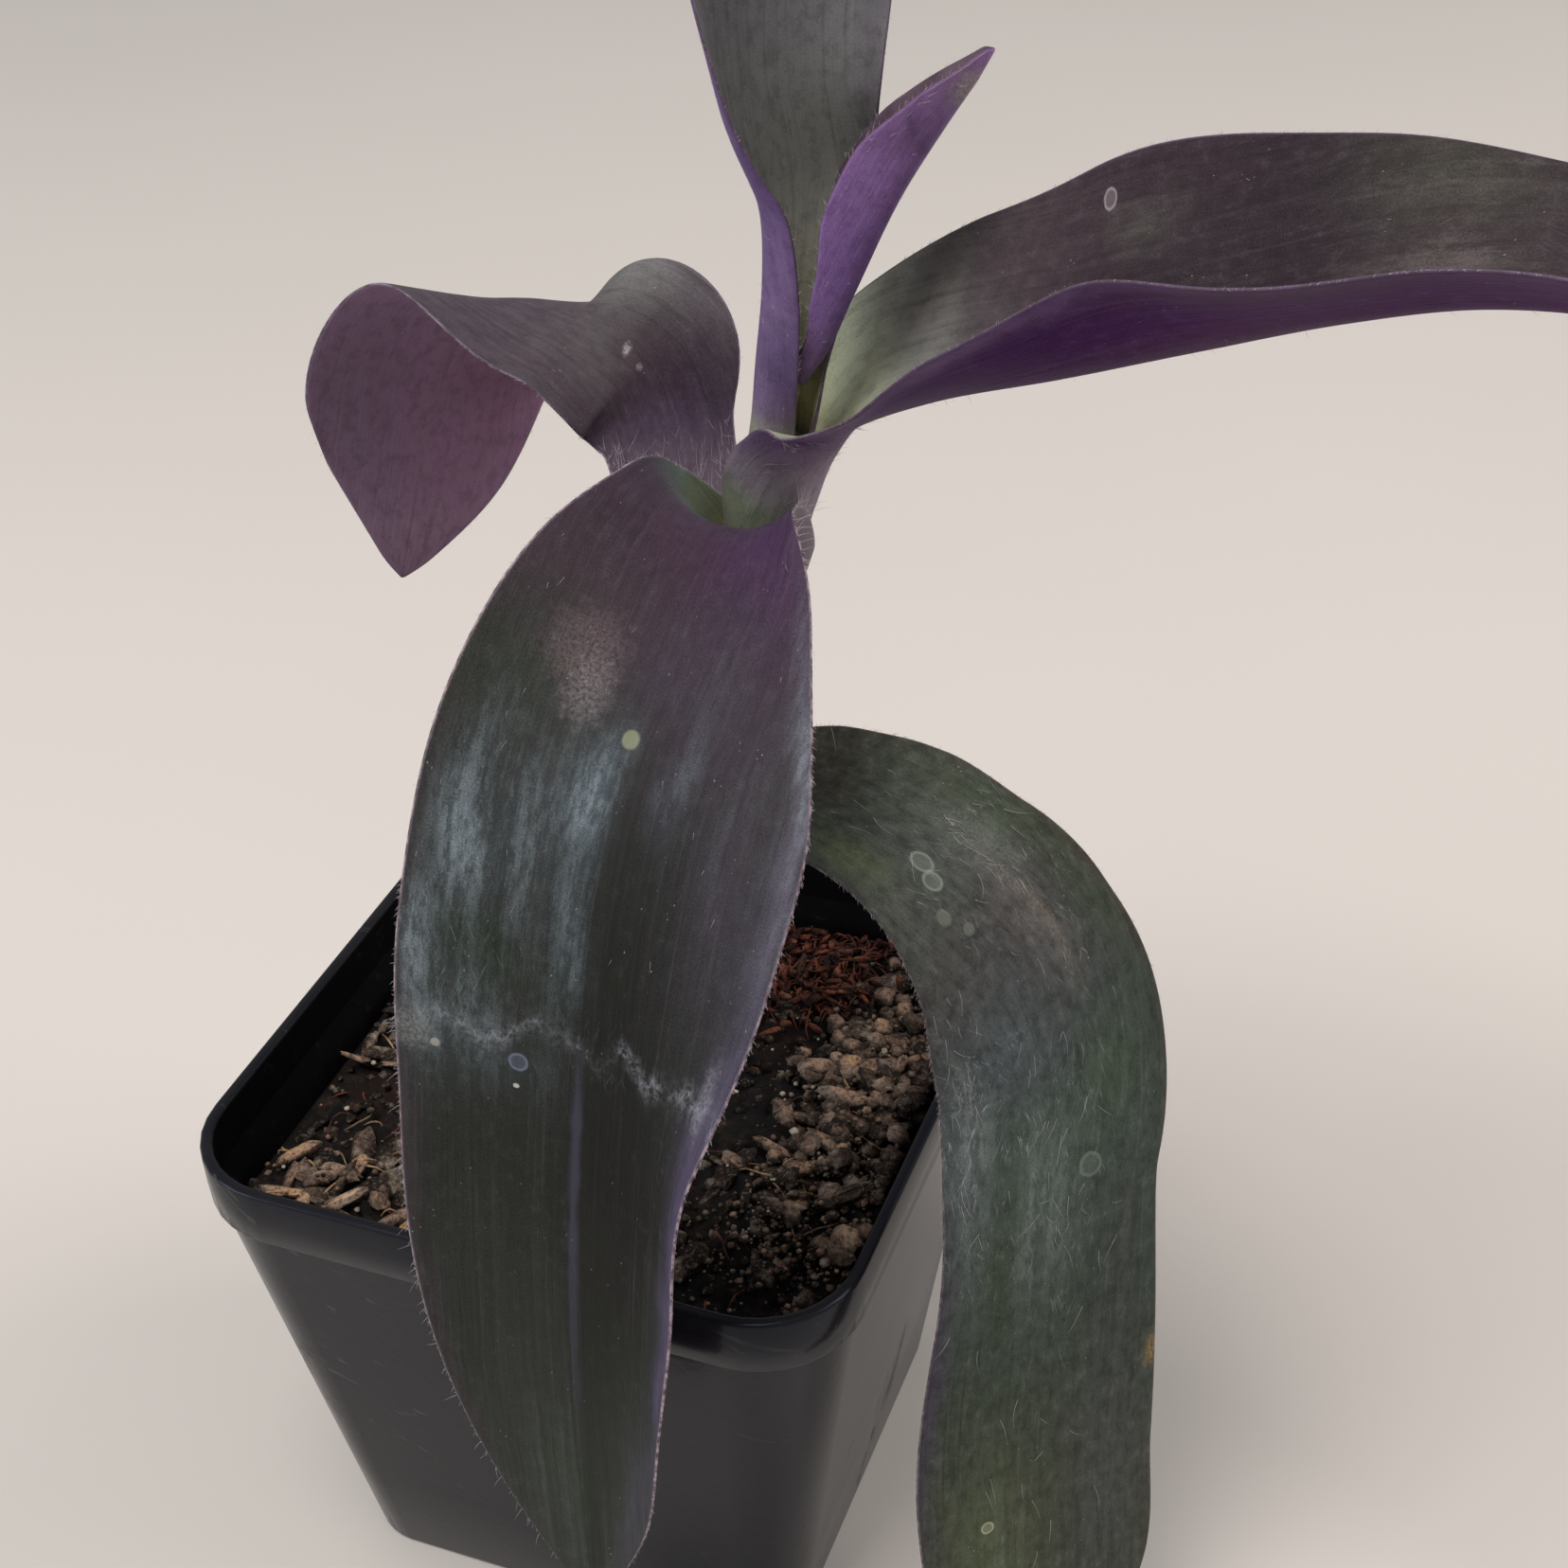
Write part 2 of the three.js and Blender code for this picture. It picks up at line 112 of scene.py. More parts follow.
def put(tree, kind, feeds=None, **facts):
    """Puts a shader node in; feeds gives its sockets a number, a hex colour or an output."""
    node = tree.nodes.new("ShaderNode" + kind)
    for fact, value in facts.items():
        setattr(node, fact, value)
    for socket, value in (feeds or {}).items():
        if isinstance(value, bpy.types.NodeSocket):
            tree.links.new(value, node.inputs[socket])
        else:
            node.inputs[socket].default_value = shade(value) if isinstance(value, str) else value
    return node


def maths(tree, way, first, second=0.0):
    return put(tree, "Math", {0: first, 1: second}, operation=way).outputs[0]


def times(tree, first, second):
    return maths(tree, "MULTIPLY", first, second)


def plus(tree, first, second):
    return maths(tree, "ADD", first, second)


def minus(tree, first, second):
    return maths(tree, "SUBTRACT", first, second)


print("a mid grey, #808080, is", round(shade("#808080")[0], 3), "in the shader's numbers")

# %% [markdown]
# ## Noise, layers and bumps
#
# Real surfaces are uneven, so most recipes start with cloudy noise. A soft ramp picks a part of
# the noise, a layer lays a colour over another where the ramp says, and the same noise raises
# small bumps. Noise that is stretched far in one direction gives fibres, veins and scratches.
# What is the same all over a finish, such as its gloss, is a plain number on the shader.

# %% Noise, layers and bumps
def grain(tree, at, scale, detail=3.0, roughness=0.55, warp=0.0):
    """Cloudy noise from 0 to 1."""
    feeds = {"Vector": at, "Scale": scale, "Detail": detail, "Roughness": roughness}
    feeds["Distortion"] = warp
    return put(tree, "TexNoise", feeds).outputs[0]


def between(tree, value, low, high, to_low=0.0, to_high=1.0):
    """Changes smoothly from to_low at low to to_high at high, and stays there."""
    feeds = {0: value, 1: low, 2: high, 3: to_low, 4: to_high}
    return put(tree, "MapRange", feeds, interpolation_type="SMOOTHSTEP").outputs[0]


def layer(tree, share, under, over):
    """One colour over another, as much as share says."""
    return put(tree, "Mix", {0: share, 6: under, 7: over}, data_type="RGBA").outputs[2]


def colour_along(tree, value, stops):
    """A colour that changes with a value; stops are places and hex colours."""
    node = put(tree, "ValToRGB", {0: value})
    ladder = node.color_ramp.elements
    while len(ladder) < len(stops):
        ladder.new(1.0)
    for step, (place, hex_colour) in zip(ladder, stops):
        step.position = place
        step.color = shade(hex_colour)
    return node.outputs[0]


def place_in(tree):
    """Coordinates in metres, fixed to the object."""
    return put(tree, "TexCoord").outputs["Object"]


def stretched(tree, at, sizes):
    """The same coordinates, multiplied along each axis."""
    return put(tree, "Mapping", {"Vector": at, "Scale": sizes}).outputs[0]


def rotated(tree, at, angles):
    """The same coordinates, turned about each axis."""
    return put(tree, "Mapping", {"Vector": at, "Rotation": angles}).outputs[0]


def relief(tree, height, strength, depth):
    """Small bumps; depth is in metres."""
    feeds = {"Height": height, "Strength": strength, "Distance": depth}
    return put(tree, "Bump", feeds).outputs[0]


def new_finish(name, rough, **numbers):
    """A material and its node tree; numbers are constants on its shader."""
    made = bpy.data.materials.new(name)
    made.use_nodes = True
    shader = made.node_tree.nodes["Principled BSDF"]
    shader.inputs["Roughness"].default_value = rough
    for socket, value in numbers.items():
        shader.inputs[socket.replace("_", " ")].default_value = value
    return made, made.node_tree


def dressed(made, body, bumps=None, rough=None):
    """Feeds the shader its colour, its bumps and its roughness, and gives the finish back."""
    shader = made.node_tree.nodes["Principled BSDF"]
    for socket, value in (("Base Color", body), ("Normal", bumps), ("Roughness", rough)):
        if value is not None:
            made.node_tree.links.new(value, shader.inputs[socket])
    return made


print("finish tools:", ", ".join(tool.__name__ for tool in (grain, between, layer, relief)))

# %% [markdown]
# ## Tools for the pieces
#
# Every finished piece is one mesh whose object stays at the origin. It rides on the frame
# and may take the place of a plain solid.

# %% Tools for the pieces
def finish_piece(name, bm, finishes, slot, stands_for=(), sharp=35):
    """Turns a bmesh into a piece of the object that rides on the frame."""
    mesh = bpy.data.meshes.new(name)
    bm.to_mesh(mesh)
    bm.free()
    return finish_mesh(name, mesh, finishes, slot, stands_for, sharp)


def finish_mesh(name, mesh, finishes, slot, stands_for=(), sharp=35):
    piece = bpy.data.objects.new(name, mesh)
    bpy.context.scene.collection.objects.link(piece)
    for finish in finishes:
        mesh.materials.append(finish)
    mesh.shade_smooth()
    mesh.set_sharp_from_angle(angle=math.radians(sharp))
    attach(piece, "root")
    for node in stands_for:
        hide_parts(node)
    print(f"{name}: {len(mesh.vertices)} vertices, {len(mesh.polygons)} faces")
    return piece


def mix(a, b, share):
    return a + (b - a) * share


def draw_rings(bm, sides, rings, place):
    """Draws one loop of edges through a row of rings and returns the first and last loops."""
    number = bm.verts.layers.int.get("number") or bm.verts.layers.int.new("number")
    corners = bmesh.ops.create_circle(bm, segments=sides, radius=1)["verts"]
    for index, vertex in enumerate(corners):
        vertex[number] = index
        vertex.co = place(rings[0], index)
    first = edges = list({edge for vertex in corners for edge in vertex.link_edges})
    for ring in rings[1:]:
        drawn = bmesh.ops.extrude_edge_only(bm, edges=edges)["geom"]
        edges = [part for part in drawn if isinstance(part, bmesh.types.BMEdge)]
        for vertex in (part for part in drawn if isinstance(part, bmesh.types.BMVert)):
            vertex.co = place(ring, vertex[number])
    return first, edges


print("halfway from 2 to 4 lies", mix(2, 4, 0.5))

# %% [markdown]
# ## The pot
#
# A nursery pot is moulded from thin black plastic: four leaning walls with rounded corners, a
# band round the rim that stiffens it, and holes in the base. One loop of edges, a square with
# rounded corners, is drawn from the foot up to the lip, over it and down the inside, where the
# band leaves a ledge. Close rings round the lip and the foot make those edges soft, as a mould
# leaves them. The inner faces are marked, since they get a duller finish.

# %% Build the pot
POT_SIDE = 64
POT_HEIGHT = 56
POT_BASE_SIDE = 47
POT_WALL = 1.2
RIM_CORNER = 9.7
BASE_CORNER = 5.5
BAND_HEIGHT = 6
BAND_STEP = 0.9
BAND_FOOT = POT_HEIGHT - BAND_HEIGHT
BAND_EASE = ((0.35, 0.02), (0.2, 0.25), (0.05, 3))
OUTER_RINGS = (12, 25, 38, BAND_FOOT - 0.5, BAND_FOOT)
INNER_RINGS = (BAND_FOOT - 0.2, BAND_FOOT - 2, 30, POT_WALL)
FOOT_ROUND = 0.5
LIP = 0.4
LIP_STRIP = 0.5
ROUND_TURNS = (0, 30, 60, 90)
CORNER_POINTS = 9
DRAIN_HOLE = 3
DRAIN_SIDES = 24
DRAIN_OFFSET = 13
FACES_IN = -0.005


def wall_at(z, inset):
    """Side, corner radius and height of the outside of the walls below the band."""
    share = z / BAND_FOOT
    side = mix(POT_BASE_SIDE, POT_SIDE - 2 * BAND_STEP, share) - 2 * inset
    return side, mix(BASE_CORNER, RIM_CORNER - BAND_STEP, share) - inset, z


def band_at(z, inset):
    """The same for the band."""
    return POT_SIDE - 2 * inset, RIM_CORNER - inset, z


def on_rounded_square(ring, index):
    """One of the points of a square whose corners are rounded, nine points to a corner."""
    side, corner, z = ring
    quarter, step = divmod(index, CORNER_POINTS)
    turn = math.radians(90 * (quarter + step / (CORNER_POINTS - 1)))
    facing = math.radians(90 * quarter + 45)
    inner = (side / 2 - corner) * math.sqrt(2)
    x = inner * math.cos(facing) + corner * math.cos(turn)
    y = inner * math.sin(facing) + corner * math.sin(turn)
    return Vector((x, y, z)) * MM


def drain_hole(bm, x, y):
    def on_hole(z, index):
        turn = 2 * math.pi * index / DRAIN_SIDES
        return Vector((x + DRAIN_HOLE * math.cos(turn), y + DRAIN_HOLE * math.sin(turn), z)) * MM

    return draw_rings(bm, DRAIN_SIDES, (0, POT_WALL), on_hole)


def pot_rings():
    """The outside from the foot to the lip, over it, and down the inside."""
    bends = [(math.sin(math.radians(turn)), 1 - math.cos(math.radians(turn))) for turn in ROUND_TURNS]
    rings = [wall_at(FOOT_ROUND * low, FOOT_ROUND * (1 - out)) for out, low in bends]
    rings += [wall_at(z, 0) for z in OUTER_RINGS]
    rings += [band_at(BAND_FOOT + rise, inset) for inset, rise in BAND_EASE]
    lip_foot = POT_HEIGHT - LIP
    rings += [band_at(lip_foot + LIP * rise, LIP * inset) for rise, inset in bends]
    rings += [band_at(lip_foot + LIP * rise, POT_WALL - LIP * inset) for rise, inset in bends[::-1]]
    rings.append(band_at(BAND_FOOT + 1, POT_WALL))
    return rings + [wall_at(z, POT_WALL) for z in INNER_RINGS]


def build_pot():
    bm = bmesh.new()
    foot, floor = draw_rings(bm, 4 * CORNER_POINTS, pot_rings(), on_rounded_square)
    for x in (-DRAIN_OFFSET, DRAIN_OFFSET):
        for y in (-DRAIN_OFFSET, DRAIN_OFFSET):
            low, high = drain_hole(bm, x, y)
            foot, floor = foot + low, floor + high
    bmesh.ops.triangle_fill(bm, use_beauty=True, edges=foot)
    bmesh.ops.triangle_fill(bm, use_beauty=True, edges=floor)
    bmesh.ops.recalc_face_normals(bm, faces=bm.faces)
    for face in bm.faces:
        at = face.calc_center_median()
        inward = face.normal.x * at.x + face.normal.y * at.y < FACES_IN
        face.material_index = 1 if inward and at.z < (POT_HEIGHT - LIP_STRIP) * MM else 0
    return bm


pot_mesh = build_pot()
print("pot:", sum(face.material_index for face in pot_mesh.faces), "of", len(pot_mesh.faces), "faces inside")

# %% [markdown]
# ## The pot's plastic
#
# Cheap black plastic is never quite black. Light dust greys it, handling leaves fine scratches
# and dull rubs, and the mould gives it a faint orange-peel skin. The scratches are noise that is
# stretched very long in one direction, so only its thin ridges show. Its gloss is weak and a
# little blue. Inside it is dull, painted nearly black as painted shade, with peat dust over it.

# %% The pot's finish
def pot_scratches(tree, at):
    """Two sets of long thin lines that show only in places."""
    along = stretched(tree, rotated(tree, at, (0.4, 0.9, 0.5)), (900, 900, 22))
    across = stretched(tree, rotated(tree, at, (1.2, 0.2, 1.1)), (700, 26, 700))
    one = between(tree, grain(tree, along, 1, 2), 0.68, 0.73)
    other = between(tree, grain(tree, across, 1, 2), 0.69, 0.74)
    shown = between(tree, grain(tree, at, 60, 2), 0.42, 0.6)
    return times(tree, maths(tree, "MAXIMUM", one, other), shown)


def pot_plastic():
    made, tree = new_finish("pot plastic", 0.3, IOR=1.3, Specular_Tint=(0.5, 0.58, 0.8, 1))
    at = place_in(tree)
    cloud = grain(tree, at, 45, 4)
    body = layer(tree, cloud, "#0a0a0e", "#121217")
    height = put(tree, "SeparateXYZ", {0: at}).outputs[2]
    dusty = times(tree, between(tree, height, 0.030, 0.058), grain(tree, at, 160, 5))
    body = layer(tree, times(tree, dusty, 0.07), body, "#74706f")
    scratch = pot_scratches(tree, at)
    body = layer(tree, times(tree, scratch, 0.09), body, "#8d8986")
    rub = between(tree, grain(tree, stretched(tree, at, (1, 1, 0.6)), 70, 5, 0.7), 0.6, 0.78)
    body = layer(tree, times(tree, rub, 0.12), body, "#625e5c")
    rough = between(tree, plus(tree, rub, times(tree, cloud, 0.5)), 0, 1.2, 0.17, 0.42)
    skin = plus(tree, grain(tree, at, 900, 2), times(tree, scratch, -0.6))
    return dressed(made, body, relief(tree, skin, 0.25, 0.00006), rough)


def pot_inside():
    made, tree = new_finish("pot inside", 0.85, Specular_IOR_Level=0.08)
    at = place_in(tree)
    dust = between(tree, grain(tree, at, 500, 5, 0.7), 0.55, 0.75, 0, 0.5)
    # The nearly black colour inside is painted shade; the brown over it is peat dust.
    body = layer(tree, dust, "#050506", "#2a221e")
    return dressed(made, body, relief(tree, grain(tree, at, 900, 3), 0.4, 0.0001))


finish_piece("pot_shell", pot_mesh, [pot_plastic(), pot_inside()], "pot", ["pot"])

# %% [markdown]
# ## The peat
#
# The pot is filled with damp peat: a lumpy top that sinks a little at the walls. It is a grid
# whose square outline is pushed round at the corners. A few crossed waves give the broad lumps
# that the frame has too, two low heaps carry the loose bark, and noise gives the crumbs between
# them. Its edge is then drawn down to the foot of the pot, so that the peat is a whole body.

# %% Build the peat
SOIL_DROP = 8
SOIL_LUMP = 1.1
SOIL_EDGE_DROP = 1.2
SOIL_GRID = 150
SOIL_GAP = 0.05
SOIL_FLOOR = POT_WALL + 0.3
CALM_FROM = 0.94
STEM_FOOT = Vector((0, 2))
HEAPS = ((1.8, (-21, -25), (90, 32)), (2.6, (23, 4), (60, 170)))


def soil_height(x, y):
    """Height of the broad lumps, in millimetres."""
    broad = math.sin(0.21 * x + 1.3) * math.cos(0.17 * y - 0.4)
    middle = math.sin(0.53 * x - 0.31 * y) * math.cos(0.44 * y + 0.9)
    fine = math.sin(1.1 * x + 0.7 * y) * math.cos(0.9 * y - 0.5 * x)
    return POT_HEIGHT - SOIL_DROP + SOIL_LUMP * (0.5 * broad + 0.3 * middle + 0.25 * fine)


def mound(x, y):
    """The heaps of loose bark, in millimetres above the rest."""
    rise = 0
    for height, middle, breadth in HEAPS:
        away = -((x - middle[0]) ** 2) / breadth[0] - (y - middle[1]) ** 2 / breadth[1]
        rise += height * math.exp(away)
    return rise


def crumbly(x, y):
    """The crumbs between the lumps: sharp pits, soft tops."""
    at = Vector((x, y, 0))
    clods = 0.5 - noise.noise(at * 0.55 + Vector((7, 0, 0)))
    grit = noise.turbulence(at * 1.3, 4, True)
    return 0.9 * clods**2 - 0.5 + 0.9 * (grit - 0.4)


def into_pot(x, y, half, corner):
    """Moves a point of a square into the same square with rounded corners."""
    inner = half - corner
    over_x = (abs(x) - inner) / corner
    over_y = (abs(y) - inner) / corner
    if over_x <= 0 or over_y <= 0:
        return x, y
    rounded_x = over_x * math.sqrt(1 - over_y**2 / 2)
    rounded_y = over_y * math.sqrt(1 - over_x**2 / 2)
    return math.copysign(inner + rounded_x * corner, x), math.copysign(inner + rounded_y * corner, y)


def build_peat():
    edge_z = POT_HEIGHT - SOIL_DROP - SOIL_EDGE_DROP
    side, corner, _ = wall_at(edge_z, POT_WALL + SOIL_GAP)
    half = side / 2
    bm = bmesh.new()
    bmesh.ops.create_grid(bm, x_segments=SOIL_GRID, y_segments=SOIL_GRID, size=1)
    for vertex in bm.verts:
        edge = max(abs(vertex.co.x), abs(vertex.co.y))
        x, y = into_pot(vertex.co.x * half, vertex.co.y * half, half, corner)
        calm = 1 - max(0, (edge - CALM_FROM) / (1 - CALM_FROM))
        z = mix(edge_z, soil_height(x, y) + mound(x, y) + crumbly(x, y), calm)
        vertex.co = Vector((x, y, z)) * MM
    rim = [edge for edge in bm.edges if edge.is_boundary]
    made = bmesh.ops.extrude_edge_only(bm, edges=rim)["geom"]
    foot_side, _, foot_z = wall_at(SOIL_FLOOR, POT_WALL + SOIL_GAP)
    shrink = foot_side / side
    for vertex in (part for part in made if isinstance(part, bmesh.types.BMVert)):
        vertex.co = Vector((vertex.co.x * shrink, vertex.co.y * shrink, foot_z * MM))
    bottom = [edge for edge in bm.edges if edge.is_boundary]
    bmesh.ops.edgeloop_fill(bm, edges=bottom)
    bmesh.ops.recalc_face_normals(bm, faces=bm.faces)
    return bm


peat_mesh = build_peat()
heights = [vertex.co.z * 1000 for vertex in peat_mesh.verts if vertex.co.z > POT_WALL * 2 * MM]
print(f"peat: its top lies between {min(heights):.1f} and {max(heights):.1f} mm")

# %% [markdown]
# ## The peat's finish
#
# Damp peat is dark, and its pits are painted nearly black, as damp and as painted shade; the
# crumbs that dry first are warm brown. The bumps and the colour read one noise, so that what
# stands up is also what is pale. Reddish patches are husk, and specks of sand and bark dust break the brown
# up.

# %% The peat's finish
# The near-black low end of these tones is painted shade in the pits as well as damp peat.
PEAT_TONES_AND_SHADE = [(0.3, "#060505"), (0.52, "#0d0a09"), (0.66, "#2a201b"), (0.8, "#6a574a")]


def peat_finish():
    made, tree = new_finish("damp peat", 0.9, Specular_IOR_Level=0.25)
    at = place_in(tree)
    clods = grain(tree, at, 420, 6, 0.7)
    # Low places in the noise take the near-black tones: painted shade in the pits.
    body = colour_along(tree, clods, PEAT_TONES_AND_SHADE)
    red = between(tree, grain(tree, at, 70, 3), 0.52, 0.7)
    body = layer(tree, times(tree, red, 0.25), body, "#3a1d15")
    cells = put(tree, "TexVoronoi", {"Vector": at, "Scale": 1400}).outputs["Distance"]
    specks = between(tree, cells, 0.12, 0.2, 1, 0)
    pale = times(tree, specks, between(tree, grain(tree, at, 300, 2), 0.55, 0.65))
    body = layer(tree, times(tree, pale, 0.6), body, "#8f7a66")
    height = plus(tree, clods, times(tree, grain(tree, at, 1500, 3), 0.4))
    return dressed(made, body, relief(tree, height, 0.9, 0.0006))


finish_piece("peat", peat_mesh, [peat_finish()], "soil", ["soil"], sharp=180)

# %% [markdown]
# ## Where the coarse chips lie
#
# The frame already has coarse chips sunk into its soil. The finished ones have to lie in the
# same places, so the same simple number draw is run again, with the same sizes and turns.

# %% Where the coarse chips lie
CHIP_COUNT = 44
CHIP_EDGE = 8
CHIP_CLEAR = 9


def held(value, low, high):
    return max(low, min(value, high))


def on_peat(x, y, lift):
    """A place in millimetres that stands a lift above the peat and its heaps."""
    return Vector((x, y, soil_height(x, y) + mound(x, y) + lift))


def frame_draws(seed):
    """The same draws as the frame's own chips, so that they lie in the same places."""
    state = seed
    while True:
        state = (state * 16807) % 2147483647
        yield state / 2147483647


def chip_places():
    """Size and place of each chip of the frame, in millimetres."""
    draw = frame_draws(41)
    reach = POT_SIDE / 2 - CHIP_EDGE
    for _ in range(CHIP_COUNT):
        size = (mix(3.5, 9, next(draw) ** 2), mix(1.8, 3.2, next(draw)), mix(1.2, 2, next(draw)))
        tilt = [math.radians(mix(-20, 20, next(draw))), math.radians(mix(-15, 15, next(draw)))]
        turn = math.radians(360 * next(draw))
        x = mix(-reach, reach, next(draw))
        y = mix(-reach, reach, next(draw))
        if math.hypot(x - STEM_FOOT.x, y - STEM_FOOT.y) >= CHIP_CLEAR:
            yield size, tilt, turn, Vector((x, y, soil_height(x, y) + size[2] * 0.15))


print("coarse chips clear of the stem:", len(list(chip_places())), "of", CHIP_COUNT)

# %% [markdown]
# ## Bark and husk chips
#
# The peat is full of what it was milled from. Chips of bark and husk start as small spheres
# that are squared, made ragged by noise, tapered and stretched. Besides the coarse ones,
# smaller ones are thrown in heaps round a few places. Each corner carries a tone in an
# attribute, made darker on the chip's underside as painted shade, and the finish reads it.

# %% Build the bark chips
LOOSE_REACH = 27
# How many, where, how far about, lengths, thicknesses, heights, tones and roundness of each heap.
LOOSE_CHIPS = (
    (34, (-19, -24), (5.5, 2.4), (1.2, 5.5), (0.6, 1.5), (0.1, 1.2), (0.35, 1), 3),
    (22, (-25, 0), (2, 7), (1.2, 5), (0.6, 1.6), (0.1, 1.2), (0.3, 0.85), 3),
    (42, (23, 4), (4, 9), (1.8, 6), (0.8, 2.2), (0.3, 1.6), (0.3, 0.9), 3),
    (70, (0, 0), (16, 16), (1.2, 4), (0.5, 1.5), (-0.2, 0.6), (0, 0.45), 2),
)


def lie(tilt, turn, at):
    """The matrix that tilts, turns and then moves."""
    turned = Matrix.Rotation(turn, 4, "Z") @ Matrix.Rotation(tilt[1], 4, "Y")
    return Matrix.Translation(at * MM) @ turned @ Matrix.Rotation(tilt[0], 4, "X")


def add_chip(bm, tone_and_shade_layer, size, at, tone, seed, rings=3):
    made = bmesh.ops.create_icosphere(bm, subdivisions=rings, radius=0.5)
    for vertex in made["verts"]:
        x, y, z = (math.copysign(abs(2 * c) ** 0.55, c) / 2 for c in vertex.co)
        lengthwise = noise.noise(Vector((seed, y * 2.6, z * 2.6)))
        ragged = noise.noise(Vector((x * 3 + seed, y * 3, z * 3)))
        taper = 1 - 0.35 * abs(2 * x) ** 3
        grown = Vector((x * (1 + 0.3 * lengthwise), y * taper * (1 + 0.5 * ragged), z * taper))
        vertex.co = at @ (Vector([g * s for g, s in zip(grown, size)]) * MM)
        # Painted shade: the tone darkens towards the chip's underside.
        rise = (vertex.co.z - at.translation.z) / (size[2] * MM)
        vertex[tone_and_shade_layer] = tone * held(0.5 + rise, 0.1, 1)


def strew(bm, tone_and_shade_layer, draw, count, middle, about, length, thick, lift, tones, rings):
    """Throws chips round a place on the peat."""
    for index in range(count):
        x = held(middle[0] + draw.gauss(0, about[0]), -LOOSE_REACH, LOOSE_REACH)
        y = held(middle[1] + draw.gauss(0, about[1]), -LOOSE_REACH, LOOSE_REACH)
        size = (draw.uniform(*length), draw.uniform(*thick), draw.uniform(*thick) * 0.8)
        at = on_peat(x, y, draw.uniform(*lift))
        tilt = (draw.uniform(-0.6, 0.6), draw.uniform(-0.5, 0.5))
        turned = lie(tilt, draw.uniform(0, 6.3), at)
        add_chip(bm, tone_and_shade_layer, size, turned, draw.uniform(*tones), middle[0] * 3 + index * 2.3, rings)


def build_chips():
    bm = bmesh.new()
    tone_and_shade_layer = bm.verts.layers.float.new("tone")
    draw = random.Random(5)
    for index, (size, tilt, turn, at) in enumerate(chip_places()):
        add_chip(bm, tone_and_shade_layer, size, lie(tilt, turn, at), draw.uniform(0, 0.4), index * 3.7)
    for heap in LOOSE_CHIPS:
        strew(bm, tone_and_shade_layer, draw, *heap)
    bmesh.ops.recalc_face_normals(bm, faces=bm.faces)
    return bm


chip_mesh = build_chips()
print("loose chips:", sum(heap[0] for heap in LOOSE_CHIPS))

# %% [markdown]
# ## The finish of bark
#
# Bark is a run of browns from nearly black to straw, chosen by each corner's tone, which also
# carries the painted shade on the undersides. Dark fibres and finer dark pores break it up, pale
# dust lies in clouds, and the same noises raise the bumps. The husk further on gets the same finish in reds.

# %% The finish of bark
def bark_finish(name, stops, pale):
    made, tree = new_finish(name, 0.85, Specular_IOR_Level=0.2)
    at = place_in(tree)
    # The tone attribute holds each corner's tone with the painted shade of its underside.
    tone = put(tree, "Attribute", attribute_name="tone").outputs["Fac"]
    body = colour_along(tree, tone, stops)
    fibre = grain(tree, at, 700, 6, 0.75)
    body = layer(tree, between(tree, fibre, 0.36, 0.56, 0.8, 0), body, "#140d0b")
    body = layer(tree, between(tree, grain(tree, at, 330, 4), 0.5, 0.7, 0, 0.4), body, pale)
    fine = grain(tree, at, 2300, 4, 0.8)
    body = layer(tree, between(tree, fine, 0.34, 0.52, 0.75, 0), body, "#0f0b09")
    body = layer(tree, between(tree, fine, 0.52, 0.7, 0, 0.3), body, pale)
    height = plus(tree, fibre, times(tree, fine, 0.5))
    return dressed(made, body, relief(tree, height, 0.9, 0.0005))


BARK_TONES = [(0.0, "#0c0908"), (0.3, "#33271f"), (0.55, "#756053"), (0.8, "#ac8c76"), (1.0, "#c49d72")]
bark = bark_finish("bark and crumbs", BARK_TONES, "#cdbba8")
finish_piece("bark_chips", chip_mesh, [bark], "soil", sharp=60)

# %% [markdown]
# ## Crumbs and pale grains
#
# Between the chips lie thousands of small crumbs, so each is a sphere with few faces, squashed
# and made lumpy by noise. They are strewn evenly and dark first, and then in four heaps where
# the photograph has dry ones, most of them small. A few grains of perlite or sand are pale. One
# ball of clay, larger than the rest, lies by itself. Each crumb and grain is painted darker on
# its underside, as painted shade.

# %% Build the crumbs and the pale grains
CRUMB_COUNT = 900
CRUMB_REACH = 28
CRUMB_LIMIT = 27.5
# How many, where, how far about, radii and tones of each heap.
CRUMB_HEAPS = (
    (70, (-21, -20), (5, 6.5), (0.2, 0.5), (0.3, 0.9)),
    (560, (23.5, 4), (3.8, 9.5), (0.2, 1.15), (0.3, 0.95)),
    (700, (23.5, 3), (3.5, 9.5), (0.12, 0.4), (0.45, 1)),
    (420, (22, -17), (4, 4.5), (0.12, 0.5), (0.35, 1)),
)
SMALL_CRUMB = 0.6
CLAY_BALL = (20.6, 6.4, 1.15)
GRAIN_COUNT = 70
BIG_GRAINS = (
    (22.5, 9.6, 0.5), (23.9, 1.4, 0.45), (27.3, 3.2, 0.75), (17.8, -2.4, 0.4), (18.5, -9, 0.4),
)


def add_crumb(bm, tone_and_shade_layer, at, radius, squash, tone, seed, rings=1, lumpy=0.8):
    middle = at * MM
    where = Matrix.Translation(middle) @ Matrix.Diagonal((1, 1, squash, 1))
    made = bmesh.ops.create_icosphere(bm, subdivisions=rings, radius=radius * MM, matrix=where)
    for vertex in made["verts"]:
        out = vertex.co - middle
        coarse = noise.noise(out * 900 + Vector((seed, 0, 0)))
        rough = coarse + 0.6 * noise.noise(out * 2600 + Vector((0, seed, 0)))
        vertex.co += out * lumpy * rough
        # Painted shade: the tone darkens towards the crumb's underside.
        vertex[tone_and_shade_layer] = tone * held(0.45 + 0.7 * out.z / (radius * MM), 0.1, 1)


